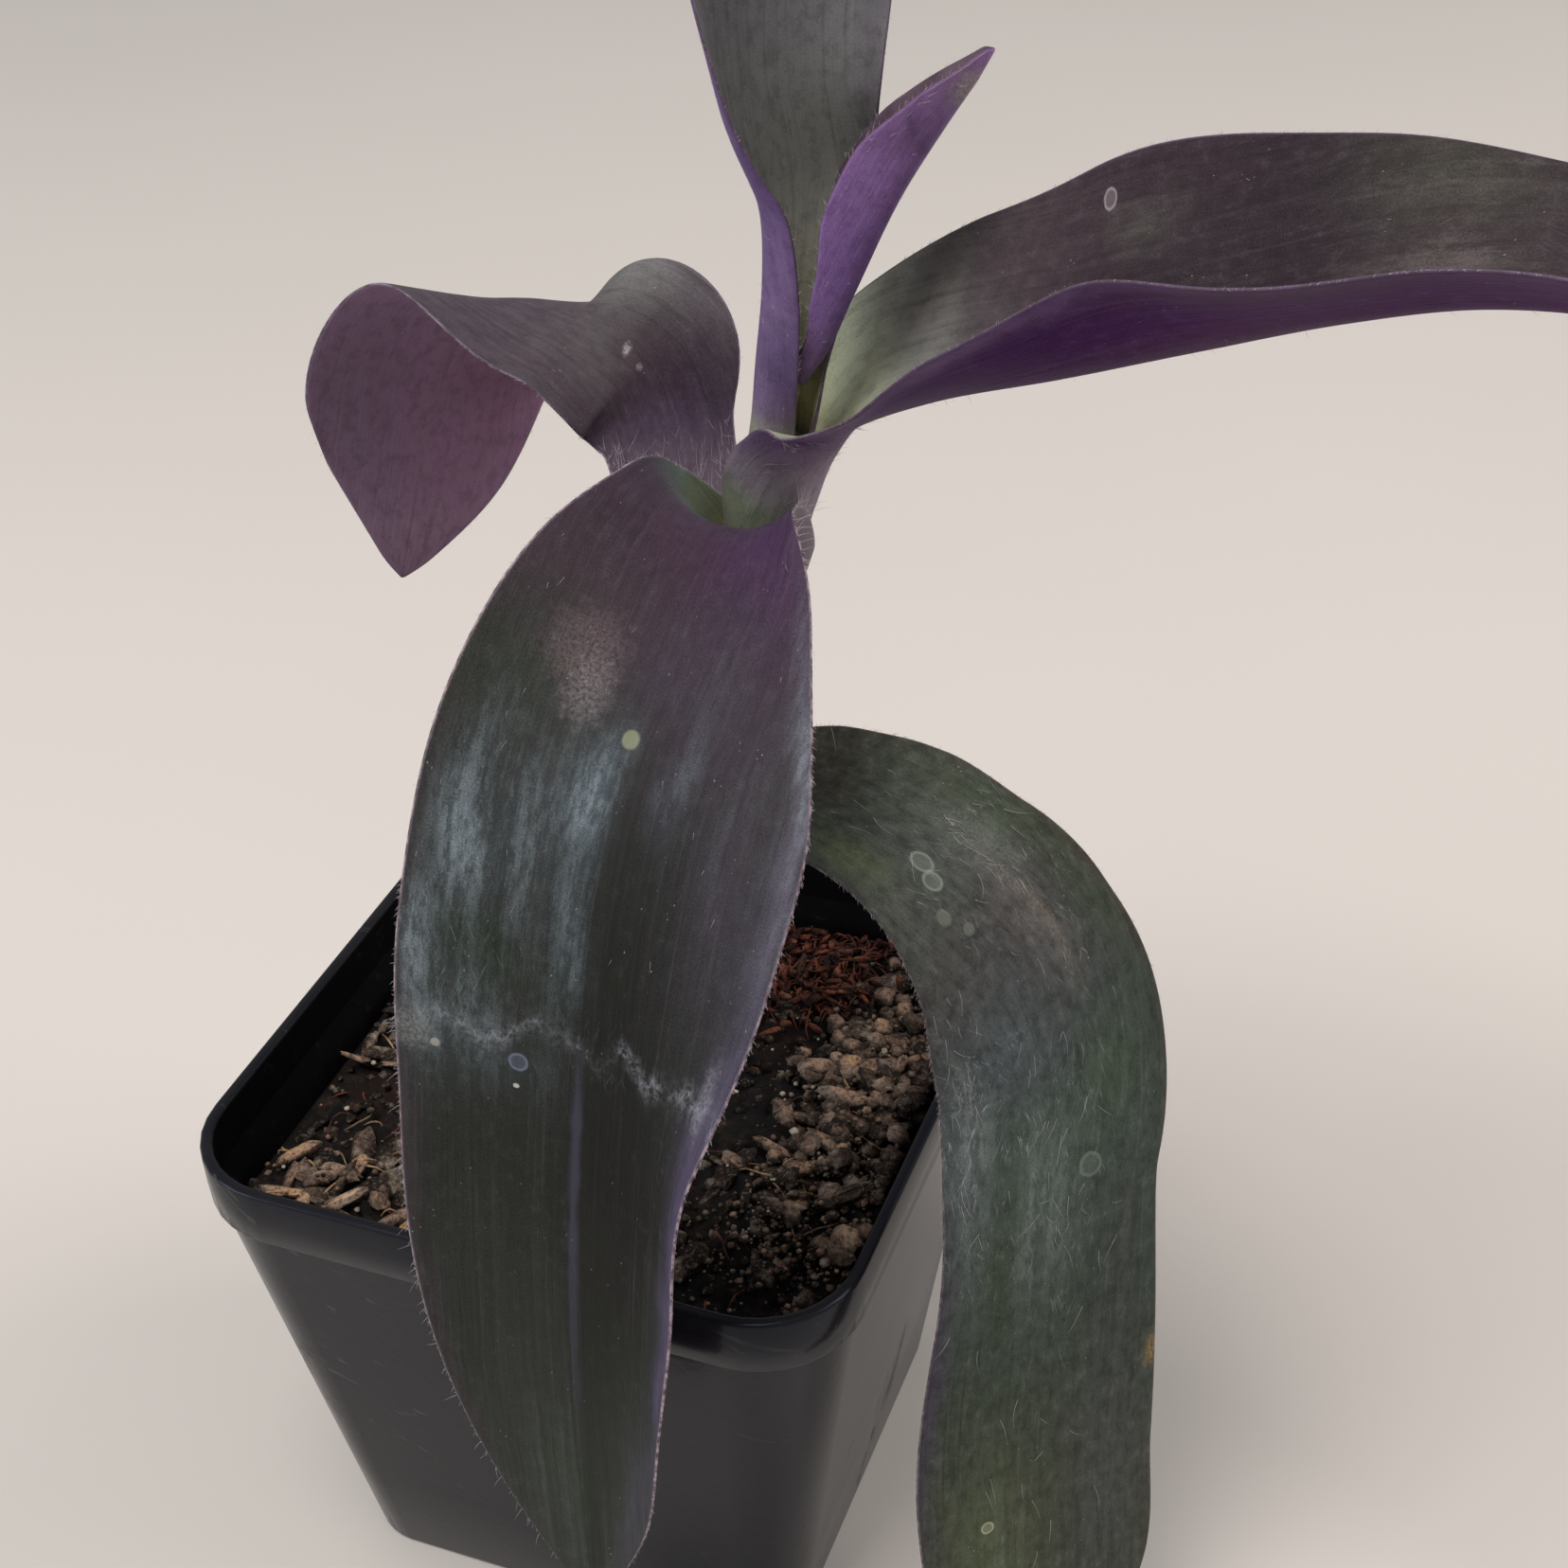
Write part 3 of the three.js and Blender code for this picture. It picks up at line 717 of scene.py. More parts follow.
def build_crumbs():
    bm = bmesh.new()
    tone_and_shade_layer = bm.verts.layers.float.new("tone")
    draw = random.Random(11)
    for index in range(CRUMB_COUNT):
        x, y = draw.uniform(-CRUMB_REACH, CRUMB_REACH), draw.uniform(-CRUMB_REACH, CRUMB_REACH)
        radius = draw.uniform(0.25, 0.75)
        at = Vector((x, y, soil_height(x, y) + draw.uniform(-0.3, 0.6)))
        add_crumb(bm, tone_and_shade_layer, at, radius, draw.uniform(0.6, 1), draw.uniform(0, 0.45), index)
    for count, middle, about, radii, tones in CRUMB_HEAPS:
        for index in range(count):
            x = held(draw.gauss(middle[0], about[0]), -CRUMB_LIMIT, CRUMB_REACH)
            y = held(draw.gauss(middle[1], about[1]), -CRUMB_LIMIT, CRUMB_LIMIT)
            radius = mix(*radii, draw.random() ** 2.2)
            at = on_peat(x, y, draw.uniform(0, 1.6))
            tone = draw.uniform(*tones)
            rings = 2 if radius > SMALL_CRUMB else 1
            add_crumb(bm, tone_and_shade_layer, at, radius, draw.uniform(0.6, 0.9), tone, index, rings)
    x, y, radius = CLAY_BALL
    add_crumb(bm, tone_and_shade_layer, on_peat(x, y, 1.6), radius, 0.95, 0.95, 3, 3, 0.25)
    return bm


def build_grains():
    bm = bmesh.new()
    tone_and_shade_layer = bm.verts.layers.float.new("tone")
    draw = random.Random(23)
    for index in range(GRAIN_COUNT):
        x, y = draw.uniform(-LOOSE_REACH, LOOSE_REACH), draw.uniform(-LOOSE_REACH, LOOSE_REACH)
        at = on_peat(x, y, draw.uniform(0.3, 1.1))
        add_crumb(bm, tone_and_shade_layer, at, draw.uniform(0.12, 0.35), 0.8, 1, index)
    for index, (x, y, radius) in enumerate(BIG_GRAINS):
        add_crumb(bm, tone_and_shade_layer, on_peat(x, y, 1.2), radius, 0.9, 1, index * 7, 3)
    return bm


def grain_finish():
    made, tree = new_finish("pale grains", 0.55)
    at = place_in(tree)
    body = layer(tree, grain(tree, at, 500, 3), "#7d7468", "#c9bfae")
    return dressed(made, body, relief(tree, grain(tree, at, 2000, 3), 0.5, 0.0001))


finish_piece("peat_crumbs", build_crumbs(), [bark], "soil", sharp=180)
finish_piece("pale_grains", build_grains(), [grain_finish()], "soil", sharp=180)

# %% [markdown]
# ## Threads
#
# Fibres in the peat and hairs on the leaves are the same thing to a maker: thin tapering
# threads. A curve with many splines draws them all at once. Each point has its own radius, so
# a thread can end in nothing, and four sides are enough for something thinner than a
# millimetre. The curve is then made a mesh.

# %% A maker of threads
def make_threads(name, threads, thickness, finish, slot):
    """Each thread is a list of points in metres with their share of the thickness."""
    curve = bpy.data.curves.new(name, "CURVE")
    curve.dimensions = "3D"
    curve.bevel_depth = thickness / 2
    curve.bevel_resolution = 0
    for thread in threads:
        spline = curve.splines.new("POLY")
        spline.points.add(len(thread) - 1)
        for point, (at, share) in zip(spline.points, thread):
            point.co = (*at, 1)
            point.radius = share
    drawn = bpy.data.objects.new(name + "_curve", curve)
    bpy.context.scene.collection.objects.link(drawn)
    seen = drawn.evaluated_get(bpy.context.evaluated_depsgraph_get())
    mesh = bpy.data.meshes.new_from_object(seen)
    mesh.name = name
    bpy.data.objects.remove(drawn)
    bpy.data.curves.remove(curve)
    return finish_mesh(name, mesh, [finish], slot, sharp=180)


print("hairs and fibres will be drawn as four-sided threads")

# %% [markdown]
# ## Coir, root bits and husk
#
# Coir fibres are short, red-brown and gathered behind the front leaf, with a few strays all over
# the pot. Each wanders over the peat and arches up between its ends. Paler bits of dead root are
# drawn the same way, longer and fewer. Shreds of red husk lie among the coir.

# %% Coir, root bits and husk
THREAD_STEPS = 5
COIR_THICK = 0.24 * MM
ROOT_THICK = 0.3 * MM
HUSK_HEAP = (190, (10, 21), (4.5, 4), (0.8, 3), (0.3, 0.8), (0.3, 1.9), (0.2, 1), 2)
HUSK_TONES = [(0.0, "#0b0504"), (0.35, "#2b120d"), (0.7, "#64301f"), (1.0, "#8b513c")]


def fibre_finish(name, dark, light):
    made, tree = new_finish(name, 0.7, Specular_IOR_Level=0.3)
    worn = between(tree, grain(tree, place_in(tree), 520, 5, 0.7), 0.34, 0.66)
    return dressed(made, layer(tree, worn, dark, light))


def strewn_threads(draw, count, reach_x, reach_y, lengths):
    threads = []
    for _ in range(count):
        x, y = draw.uniform(*reach_x), draw.uniform(*reach_y)
        heading = draw.uniform(0, 2 * math.pi)
        step_length = draw.uniform(*lengths) / THREAD_STEPS
        rise = draw.uniform(0.1, 1.3)
        bend = draw.uniform(-0.3, 0.3)
        thread = []
        for step in range(THREAD_STEPS + 1):
            share = step / THREAD_STEPS
            at = on_peat(x, y, 0.3 + rise * math.sin(math.pi * share))
            thread.append((at * MM, 1 - 0.7 * abs(2 * share - 1)))
            heading += bend + draw.uniform(-0.3, 0.3)
            x = held(x + step_length * math.cos(heading), -CRUMB_REACH, CRUMB_REACH)
            y = held(y + step_length * math.sin(heading), -CRUMB_REACH, CRUMB_REACH)
        threads.append(thread)
    return threads


def build_shreds():
    bm = bmesh.new()
    tone_and_shade_layer = bm.verts.layers.float.new("tone")
    strew(bm, tone_and_shade_layer, random.Random(53), *HUSK_HEAP)
    return bm


draw = random.Random(31)
coir = strewn_threads(draw, 420, (3, 17), (15, 28), (1.5, 4.5))
coir += strewn_threads(draw, 60, (-26, 26), (-26, 15), (1.5, 5))
make_threads("coir_fibres", coir, COIR_THICK, fibre_finish("coir", "#160807", "#713c2e"), "soil")
roots = strewn_threads(draw, 16, (16, 28), (-14, 14), (4, 9))
roots += strewn_threads(draw, 30, (-27, -12), (-27, 8), (2, 5))
make_threads("root_bits", roots, ROOT_THICK, fibre_finish("root bits", "#5d4632", "#a38662"), "soil")
husk = bark_finish("red husk", HUSK_TONES, "#8f6a58")
finish_piece("husk_shreds", build_shreds(), [husk], "soil", sharp=60)

# %% [markdown]
# ## How a leaf is shaped
#
# A leaf is a flat blade that grew along a line and was rolled, folded and curled on the way. It
# is described by a row of stations from where it wraps the stem to its tip. Each station holds
# the midrib's point x, y, z in millimetres, the half widths to the left and right, a roll about
# the midrib, and for the left and then the right half its fold at the midrib and its curl from
# there to the margin, in degrees. A smooth curve through the stations gives any place between.

# %% The leaves' stations
FRONT_LEAF = {
    "heading": -88,
    "stations": [
        (11.4, 4.1, 101, 10, 10, 0, 0, 165, 0, 165),
        (12.6, 3.1, 105.8, 8.2, 10.9, -2, 0, 98, 0, 142),
        (13.5, 1.2, 110.3, 6.8, 9.6, -6, 0, 72, 0, 98),
        (14.2, -3, 113.6, 6.2, 10.4, 4, 0, 58, 0, 56),
        (15, -13.5, 112.4, 10.8, 13.5, 12, 0, 40, 0, 24),
        (14, -24.5, 104.5, 15.1, 15.4, 4, 0, 5, 0, 15),
        (13.5, -31.5, 93.5, 15.3, 15.5, 0, 0, 20, 0, 10),
        (12.5, -34, 79, 14.6, 15.3, 0, 0, 65, 0, 10),
        (11.5, -35.5, 64, 14.5, 14.5, 0, 0, 70, 0, 10),
        (11, -36.5, 49, 12, 12, 0, 0, 65, 0, 15),
        (11.5, -38, 36.5, 7.5, 7.5, 0, 0, 45, 0, 10),
        (12.5, -40.5, 25.5, 0.8, 0.8, 0, 0, 0, 0, 0),
    ],
}
LOWER_RIGHT_LEAF = {
    "heading": -35,
    "stations": [
        (7.5, 2.3, 76.5, 10, 10, 0, 0, 165, 0, 165),
        (8.7, 2.3, 80.5, 9.7, 9.7, 0, 0, 140, 0, 142),
        (11.4, 1, 85, 7.8, 8, 0, 0, 65, 0, 72),
        (20.5, -7, 91.5, 9, 8.5, -3, 0, 50, 0, 50),
        (28.5, -10, 92, 10.4, 5.8, -4, 0, 20, 0, 10),
        (36, -10, 88, 10.2, 8, 0, 0, 0, 0, 0),
        (41.5, -8, 80, 11, 11.2, 0, 0, -10, 0, -10),
        (44.5, -8, 70, 12.3, 11.8, 0, 0, -10, 0, -10),
        (45.5, -12.5, 60, 12, 11.7, 0, 0, 0, 0, 0),
        (46, -15.5, 47, 12.8, 12.4, 0, 0, 0, 0, 0),
        (47, -20.5, 33, 13.6, 12.8, 0, 0, 0, 0, 0),
        (49, -24.5, 20, 12, 10, 0, 0, 0, 0, 0),
        (51, -27.5, 11, 0.8, 0.8, 0, 0, 0, 0, 0),
    ],
}
BACK_LEFT_LEAF = {
    "heading": 135,
    "stations": [
        (5.4, 8.5, 89, 10, 10, 0, 0, 165, 0, 165),
        (6.2, 9.5, 92.5, 9.5, 9, 0, 0, 143, 0, 134),
        (5.3, 11.4, 95.5, 8.5, 6.4, 0, 0, 75, 0, 66),
        (1.7, 17, 102, 8, 6, 0, 0, 55, 0, 60),
        (-1, 21.5, 108.5, 8.5, 5.9, 0, 0, 35, 0, 55),
        (-4, 22, 114.8, 10, 9.8, -8, 0, 20, 0, 60),
        (-10, 20.5, 118.4, 11.5, 7.6, -14, 0, 8, -10, -8),
        (-18.5, 21, 119, 12, 10.5, -12, 0, 0, -12, -12),
        (-25, 22.5, 111, 13, 12.8, 0, 0, 0, 0, 0),
        (-28, 22, 100, 9, 9, 0, 0, 0, 0, 0),
        (-29.5, 18.5, 90, 0.8, 0.8, 0, 0, 0, 0, 0),
    ],
}
RIGHT_LEAF = {
    "heading": -5,
    "stations": [
        (15.8, 7.5, 106.4, 8.8, 8.8, 0, 0, 165, 0, 165),
        (17, 7.8, 111, 10, 9.6, 0, 0, 150, 0, 140),
        (18.5, 9, 115.4, 11, 9.5, 0, 0, 105, 0, 85),
        (22, 9.2, 120, 12.3, 11, 0, 15, 58, 0, 35),
        (30, 6, 125, 15, 11, 0, 35, 25, 21, -4),
        (41, 0.5, 130.7, 16.2, 13, 0, 48, 10, 41, -5),
        (52, -4.5, 136.6, 16, 14.5, 0, 50, 5, 58, -12),
        (62, -8.5, 141.8, 13, 14, 0, 50, 0, 48, -20),
        (71, -11, 145, 10.8, 12.5, 0, 46, -5, 48, -20),
        (79.5, -12.5, 145.8, 9.2, 11, 0, 40, -5, 45, -20),
        (88, -12, 143.3, 7, 8, 0, 34, 0, 38, -10),
        (95.5, -11, 139, 0.8, 0.8, 0, 20, 0, 20, 0),
    ],
}
TOP_LEAF = {
    "heading": 115,
    "stations": [
        (12, 9.3, 113, 6.7, 6.7, -35, 0, 165, 0, 165),
        (12.8, 9.4, 118, 6.7, 6.7, -35, 0, 165, 0, 160),
        (13.4, 9.6, 122.5, 6.8, 5.6, -35, 0, 155, 0, 120),
        (13.8, 12.4, 128.5, 7.6, 5.5, -25, 0, 146, 0, 70),
        (14, 14.5, 136, 8.3, 6.5, -10, 0, 135, 0, 50),
        (13, 14.5, 145, 9.5, 9, 0, 0, 110, 0, 58),
        (13, 15.5, 155, 10, 9.2, 0, 0, 70, 0, 35),
        (14.5, 15.5, 166, 9.5, 8.4, 0, 0, 30, 0, 20),
        (14.5, 17, 176, 6, 6, 0, 0, 10, 0, 10),
        (14.5, 19, 183, 0.8, 0.8, 0, 0, 0, 0, 0),
    ],
}
YOUNG_LEAF = {
    "heading": 10,
    "stations": [
        (16.4, 8.4, 122.2, 1.7, 1.7, 0, 60, 20, 60, 20),
        (18.3, 9.2, 125.2, 2.1, 2.1, 0, 62, 15, 62, 15),
        (20.4, 9.9, 130.2, 3.7, 3.7, 0, 65, 12, 65, 12),
        (23.6, 11, 137.5, 5.8, 5.8, 0, 68, 10, 68, 10),
        (27, 12.5, 143.5, 4.3, 4.3, 0, 65, 0, 65, 0),
        (30.5, 14, 149, 0.8, 0.8, 0, 40, 0, 40, 0),
    ],
}
leaves = {
    "front_leaf": FRONT_LEAF, "lower_right_leaf": LOWER_RIGHT_LEAF,
    "back_left_leaf": BACK_LEFT_LEAF, "right_leaf": RIGHT_LEAF,
    "top_leaf": TOP_LEAF, "young_leaf": YOUNG_LEAF,
}
print("stations:", {name: len(leaf["stations"]) for name, leaf in leaves.items()})

# %% [markdown]
# ## From stations to a surface
#
# At each place along the leaf, the cross-section is walked from the midrib to each margin in
# small steps. The slope grows quickly over the fold and then steadily through the curl. The
# margins carry a slow wave, and close to the tip the width shrinks along a quarter circle, so
# that the tip is round and not cut off.

# %% Shape of a leaf
FOLD_SPAN = 0.35
WAVE_HEIGHT = 0.022
WAVES = 34
WAVE_SHIFT = 1.7
LEAF_ROWS = 110
HALF_COLUMNS = 16
WALK = 3
FINE = 1e-3
TIP_SHARE = 0.02
TIP_LEAST = 0.06


def sample_rows(rows, place):
    """A smooth curve through rows of numbers; place runs from 0 to 1."""
    last = len(rows) - 1
    along = held(place, 0, 1) * last
    i = min(int(along), last - 1)
    t = along - i
    here, there = rows[i], rows[i + 1]
    out = []
    for k, value in enumerate(here):
        before = rows[i - 1][k] if i > 0 else 2 * value - there[k]
        after = rows[i + 2][k] if i + 2 <= last else 2 * there[k] - value
        square = 2 * before - 5 * value + 4 * there[k] - after
        cube = 3 * value - before - 3 * there[k] + after
        out.append(value + 0.5 * t * (there[k] - before + t * (square + t * cube)))
    return out


def direction_on(rows, place):
    ahead = Vector(sample_rows(rows, min(place + FINE, 1))[:3])
    return (ahead - Vector(sample_rows(rows, max(place - FINE, 0))[:3])).normalized()


def leaf_section(leaf, place, phase):
    """The blade's middle line across a leaf, from the left margin to the right one."""
    numbers = sample_rows(leaf["stations"], place)
    left, right, roll, fold_left, curl_left, fold_right, curl_right = numbers[3:]
    along = direction_on(leaf["stations"], place)
    facing = math.radians(leaf["heading"])
    flat = Vector((math.sin(facing), -math.cos(facing), 0))
    flat = (flat - along * flat.dot(along)).normalized()
    side = flat * math.cos(math.radians(roll)) + flat.cross(along) * math.sin(math.radians(roll))
    face = side.cross(along)
    middle = Vector(numbers[:3])
    near_tip = min(1, (1 - place) / TIP_SHARE)
    rounding = max(TIP_LEAST, math.sqrt(near_tip * (2 - near_tip)))
    left, right = left * rounding, right * rounding
    halves = []
    for sign, half, fold, curl in ((-1, left, fold_left, curl_left), (1, right, fold_right, curl_right)):
        steps = HALF_COLUMNS * WALK
        point = middle.copy()
        points = []
        for k in range(steps):
            share = (k + 0.5) / steps
            slope = math.radians(fold * min(share / FOLD_SPAN, 1) + curl * share)
            point += side * (sign * half * math.cos(slope) / steps)
            point += face * (half * math.sin(slope) / steps)
            if (k + 1) % WALK == 0:
                edge = ((k + 1) / steps) ** 3 * math.sin(math.pi * place)
                wave = WAVE_HEIGHT * half * edge * math.sin(place * WAVES + phase + sign)
                points.append((point + face * wave) * MM)
        halves.append(points)
    return halves[0][::-1] + [middle * MM] + halves[1], left, right


def measure_leaf(leaf, phase):
    """Adds the leaf's grid of points, its half widths and its length from the stem."""
    sections = [leaf_section(leaf, j / LEAF_ROWS, phase) for j in range(LEAF_ROWS + 1)]
    leaf["rows"] = [points for points, _, _ in sections]
    leaf["halves"] = [(left, right) for _, left, right in sections]
    middles = [points[HALF_COLUMNS] for points in leaf["rows"]]
    leaf["lengths"] = [0.0]
    for one, two in zip(middles, middles[1:]):
        leaf["lengths"].append(leaf["lengths"][-1] + (two - one).length)


for index, (name, leaf) in enumerate(leaves.items()):
    measure_leaf(leaf, WAVE_SHIFT * index)
    widest = max(left + right for left, right in leaf["halves"])
    print(f"{name}: {leaf['lengths'][-1] * 1000:.0f} mm along the midrib, {widest:.0f} mm wide")

# %% [markdown]
# ## Places on a leaf, and its paint
#
# Marks, colours and hairs are all placed by two shares: how far along the leaf, from 0 at the
# stem to 1 at the tip, and how far across, from -1 at the left margin to 1 at the right one. The
# paint reads a run of colours along the leaf, then soft patches over it. Both are shifted a
# little by noise, so that no edge of a patch is smooth. A patch also says how much frost it has,
# and on the front leaf that frost layer also carries a painted sheen of reflected light.

# %% Places on a leaf, and its paint
def on_leaf(leaf, place, across):
    """Point, normal of the upper skin and direction towards the tip at a place on the leaf."""
    j = held(place, 0, 1) * LEAF_ROWS
    i = (held(across, -1, 1) + 1) * HALF_COLUMNS
    row = min(int(j), LEAF_ROWS - 1)
    column = min(int(i), 2 * HALF_COLUMNS - 1)
    rows = leaf["rows"]
    near = rows[row][column].lerp(rows[row][column + 1], i - column)
    far = rows[row + 1][column].lerp(rows[row + 1][column + 1], i - column)
    along = (far - near).normalized()
    sideways = rows[row][column + 1] - rows[row][column]
    return near.lerp(far, j - row), sideways.cross(along).normalized(), along


def spread(leaf, place, across):
    """Place on the blade in centimetres: across from the midrib, and along from the stem."""
    j = held(place, 0, 1) * LEAF_ROWS
    row = min(int(j), LEAF_ROWS - 1)
    left, right = leaf["halves"][row]
    width = (left if across < 0 else right) * across / 10
    return width, mix(leaf["lengths"][row], leaf["lengths"][row + 1], j - row) * 100


def painted(colours, tints, place, across):
    """Skin colour and frost, which also carries painted sheen, at a place on the blade: a run of colours,
    then soft patches.
    """
    shift = Vector((across * 2.2, place * 24, 3.0))
    place += 0.012 * noise.noise(shift)
    across += 0.14 * noise.noise(shift + Vector((0, 0, 9)))
    step = max(i for i, stop in enumerate(colours[:-1]) if stop[0] <= max(place, 0))
    (low, under), (high, over) = colours[step], colours[step + 1]
    share = held((place - low) / (high - low), 0, 1)
    mixed = Vector(shade(under)).lerp(Vector(shade(over)), share)
    frost_and_sheen = 0
    for at, beside, along_reach, across_reach, hex_colour, strength, frost_and_sheen_amount in tints:
        away = ((place - at) / along_reach) ** 2 + ((across - beside) / across_reach) ** 2
        weight = math.exp(-away)
        mixed = mixed.lerp(Vector(shade(hex_colour)), min(1, weight * strength))
        frost_and_sheen = max(frost_and_sheen, weight * frost_and_sheen_amount)
    return (*mixed[:3], frost_and_sheen)


middle = on_leaf(FRONT_LEAF, 0.5, 0)[0]
print("the middle of the front leaf lies at", [round(c * 1000, 1) for c in middle], "mm")

# %% [markdown]
# ## The blade
#
# A blade starts as a flat grid. Its points first take their colours and their maps from where
# they lie on that grid, and are then moved onto the leaf's surface. A Solidify modifier gives
# the sheet a thickness that thins to the margin, with the upper skin, the under skin and the
# cut edge each in a finish of its own. One level of subdivision rounds the edge. The leftmost
# lobe is held just inside the frame's box, where its thickness would reach out of it.

# %% Build a blade
BLADE_THICK = 0.85 * MM
EDGE_THICK_SHARE = 0.35
TIP_THINNING = 12
KEPT_INSIDE = 0.45 * MM


def build_blade(leaf):
    bm = bmesh.new()
    bmesh.ops.create_grid(bm, x_segments=2 * HALF_COLUMNS, y_segments=LEAF_ROWS, size=1)
    share_map = bm.loops.layers.uv.new("share")
    spread_map = bm.loops.layers.uv.new("spread")
    for face in bm.faces:
        for loop in face.loops:
            across, place = loop.vert.co.x, (loop.vert.co.y + 1) / 2
            loop[share_map].uv = ((across + 1) / 2, place)
            loop[spread_map].uv = spread(leaf, place, across)
    thickness = bm.verts.layers.deform.new()
    upper = bm.verts.layers.float_color.new("upper")
    under = bm.verts.layers.float_color.new("under")
    for vertex in bm.verts:
        across, place = vertex.co.x, (vertex.co.y + 1) / 2
        vertex[thickness][0] = max(0, 1 - across**2) * min(1, (1 - place) * TIP_THINNING)
        vertex[upper] = painted(leaf["upper"], leaf["upper_tints"], place, across)
        vertex[under] = painted(leaf["under"], leaf["under_tints"], place, across)
        row, column = round(place * LEAF_ROWS), round((across + 1) * HALF_COLUMNS)
        vertex.co = leaf["rows"][row][column]
        vertex.co.x = max(vertex.co.x, frame_box[0][0] + KEPT_INSIDE)
    return bm


def build_leaf(name, leaf, finishes):
    piece = finish_piece(name + "_blade", build_blade(leaf), finishes, name, [name], sharp=180)
    body = piece.vertex_groups.new(name="thick")
    solid = piece.modifiers.new("blade thickness", "SOLIDIFY")
    solid.thickness = BLADE_THICK
    solid.offset = 0
    solid.vertex_group = body.name
    solid.thickness_vertex_group = EDGE_THICK_SHARE
    solid.material_offset = 1
    solid.material_offset_rim = 2
    soft = piece.modifiers.new("round edge", "SUBSURF")
    soft.levels = soft.render_levels = 1


faces = 2 * HALF_COLUMNS * LEAF_ROWS
print(f"each blade will be a sheet of {faces} faces, {BLADE_THICK * 1000:.2f} mm thick at the midrib")

# %% [markdown]
# ## Marks on a leaf
#
# Two maps on the blade place everything that its skin carries: one gives shares of its width
# and length, the other gives centimetres on its surface. With them a mark is a distance from
# its centre, made ragged by noise. A dot is filled, and a dried drop leaves a ring. A scuff is a
# cloud of specks. Wisps are fine scratches: strands of stretched noise in two directions, which
# show only in bundles. The tide line is a thin broken line with flakes round it, left by water.

# %% Marks on a leaf
def leaf_maps(tree):
    """Centimetres on the blade, and the shares of its width and of its length."""
    share = put(tree, "UVMap", uv_map="share").outputs[0]
    spread_out = put(tree, "UVMap", uv_map="spread").outputs[0]
    parts = put(tree, "SeparateXYZ", {0: share})
    return spread_out, parts.outputs[0], parts.outputs[1]


def spot(tree, spread_out, centre, radius, ragged):
    """Distance from a spot's centre in its own radii, made ragged; sizes are in centimetres."""
    offset = put(tree, "VectorMath", {0: spread_out, 1: (*centre, 0)}, operation="SUBTRACT").outputs[0]
    sized = stretched(tree, offset, (1 / radius[0], 1 / radius[1], 1))
    away = put(tree, "VectorMath", {0: sized}, operation="LENGTH").outputs[1]
    rough = minus(tree, grain(tree, spread_out, 14, 4), 0.5)
    return plus(tree, away, times(tree, rough, ragged * 4))


def dot(tree, spread_out, centre, size):
    return between(tree, spot(tree, spread_out, centre, size, 0.06), 0.7, 1.05, 1, 0)


def wisps(tree, spread_out, centre, size):
    away = between(tree, spot(tree, spread_out, centre, size, 0.3), 0.3, 1.1, 1, 0)
    shown = 0.0
    for turn in (0.35, -0.4):
        turned = rotated(tree, spread_out, (0, 0, turn))
        strands = grain(tree, stretched(tree, turned, (44, 3.2, 1)), 1, 3, 0.6, 1.2)
        shown = maths(tree, "MAXIMUM", between(tree, strands, 0.6, 0.74), shown)
    bundles = between(tree, grain(tree, spread_out, 3.5, 3), 0.42, 0.6, 0.1, 1)
    return times(tree, times(tree, shown, away), bundles)


def scuff(tree, spread_out, centre, size):
    away = spot(tree, spread_out, centre, size, 0.3)
    specks = between(tree, grain(tree, spread_out, 34, 6, 0.85), 0.36, 0.66)
    return times(tree, between(tree, away, 0.2, 1.1, 1, 0), specks)


def ring(tree, spread_out, centre, size):
    away = spot(tree, spread_out, centre, size, 0.07)
    edge = times(tree, between(tree, away, 0.6, 0.82), between(tree, away, 0.88, 1.1, 1, 0))
    inside = times(tree, between(tree, away, 0.8, 1, 1, 0), 0.35)
    return maths(tree, "MAXIMUM", edge, inside)


def tide_line(tree, spread_out, v, place):
    across_only = stretched(tree, spread_out, (1, 0.12, 1))
    wander = minus(tree, grain(tree, across_only, 1.5, 6, 0.62), 0.5)
    shifted = plus(tree, v, times(tree, wander, 0.11))
    off = maths(tree, "ABSOLUTE", minus(tree, shifted, place))
    flakes = between(tree, grain(tree, spread_out, 15, 5, 0.8), 0.4, 0.6)
    broken = between(tree, grain(tree, spread_out, 3.1, 2), 0.38, 0.6, 0.2, 1)
    glow = times(tree, between(tree, off, 0.001, 0.012, 0.5, 0), flakes)
    core = between(tree, off, 0.0004, 0.002, 0.8, 0)
    thin = times(tree, core, between(tree, flakes, 0, 0.6, 0.25, 1))
    return times(tree, maths(tree, "MAXIMUM", thin, glow), broken)


MARKS = {"dot": dot, "wisps": wisps, "scuff": scuff, "ring": ring}
print("kinds of marks:", ", ".join(MARKS))

# %% [markdown]
# ## Layers of the skin
#
# The skin is made in layers, from the inside out. Its broad colour comes from the blade, where
# it was painted point by point. Parallel veins run the whole length, fade in places, and read as
# fine streaks of lighter and darker skin. Clouds and a fine grain mottle it. On one leaf the
# left half is painted darker below its middle, as painted shade, and keeps less frost and painted
# sheen there, and on two skins the rib shows. A waxy frost greys the skin in bands, flecks and
# specks that are drawn out along the veins; on the front leaf this layer is also a painted sheen
# of reflected light. Tiny pale dots are pores.

# %% Layers of the skin
BARE_FROST = 0.02


def veined(tree, spread_out, body, dark):
    """Streaks along the veins, and the noise that they come from."""
    fade = grain(tree, stretched(tree, spread_out, (3, 0.8, 1)), 1, 3)
    fade = between(tree, fade, 0.35, 0.65, 0.25, 1)
    veins = grain(tree, stretched(tree, spread_out, (21, 0.3, 1)), 1, 4, 0.65)
    body = layer(tree, times(tree, between(tree, veins, 0.34, 0.52, dark, 0), fade), body, "#0e0c0e")
    pale = times(tree, between(tree, veins, 0.5, 0.7, 0, 0.05), fade)
    return layer(tree, pale, body, "#9b979b"), veins


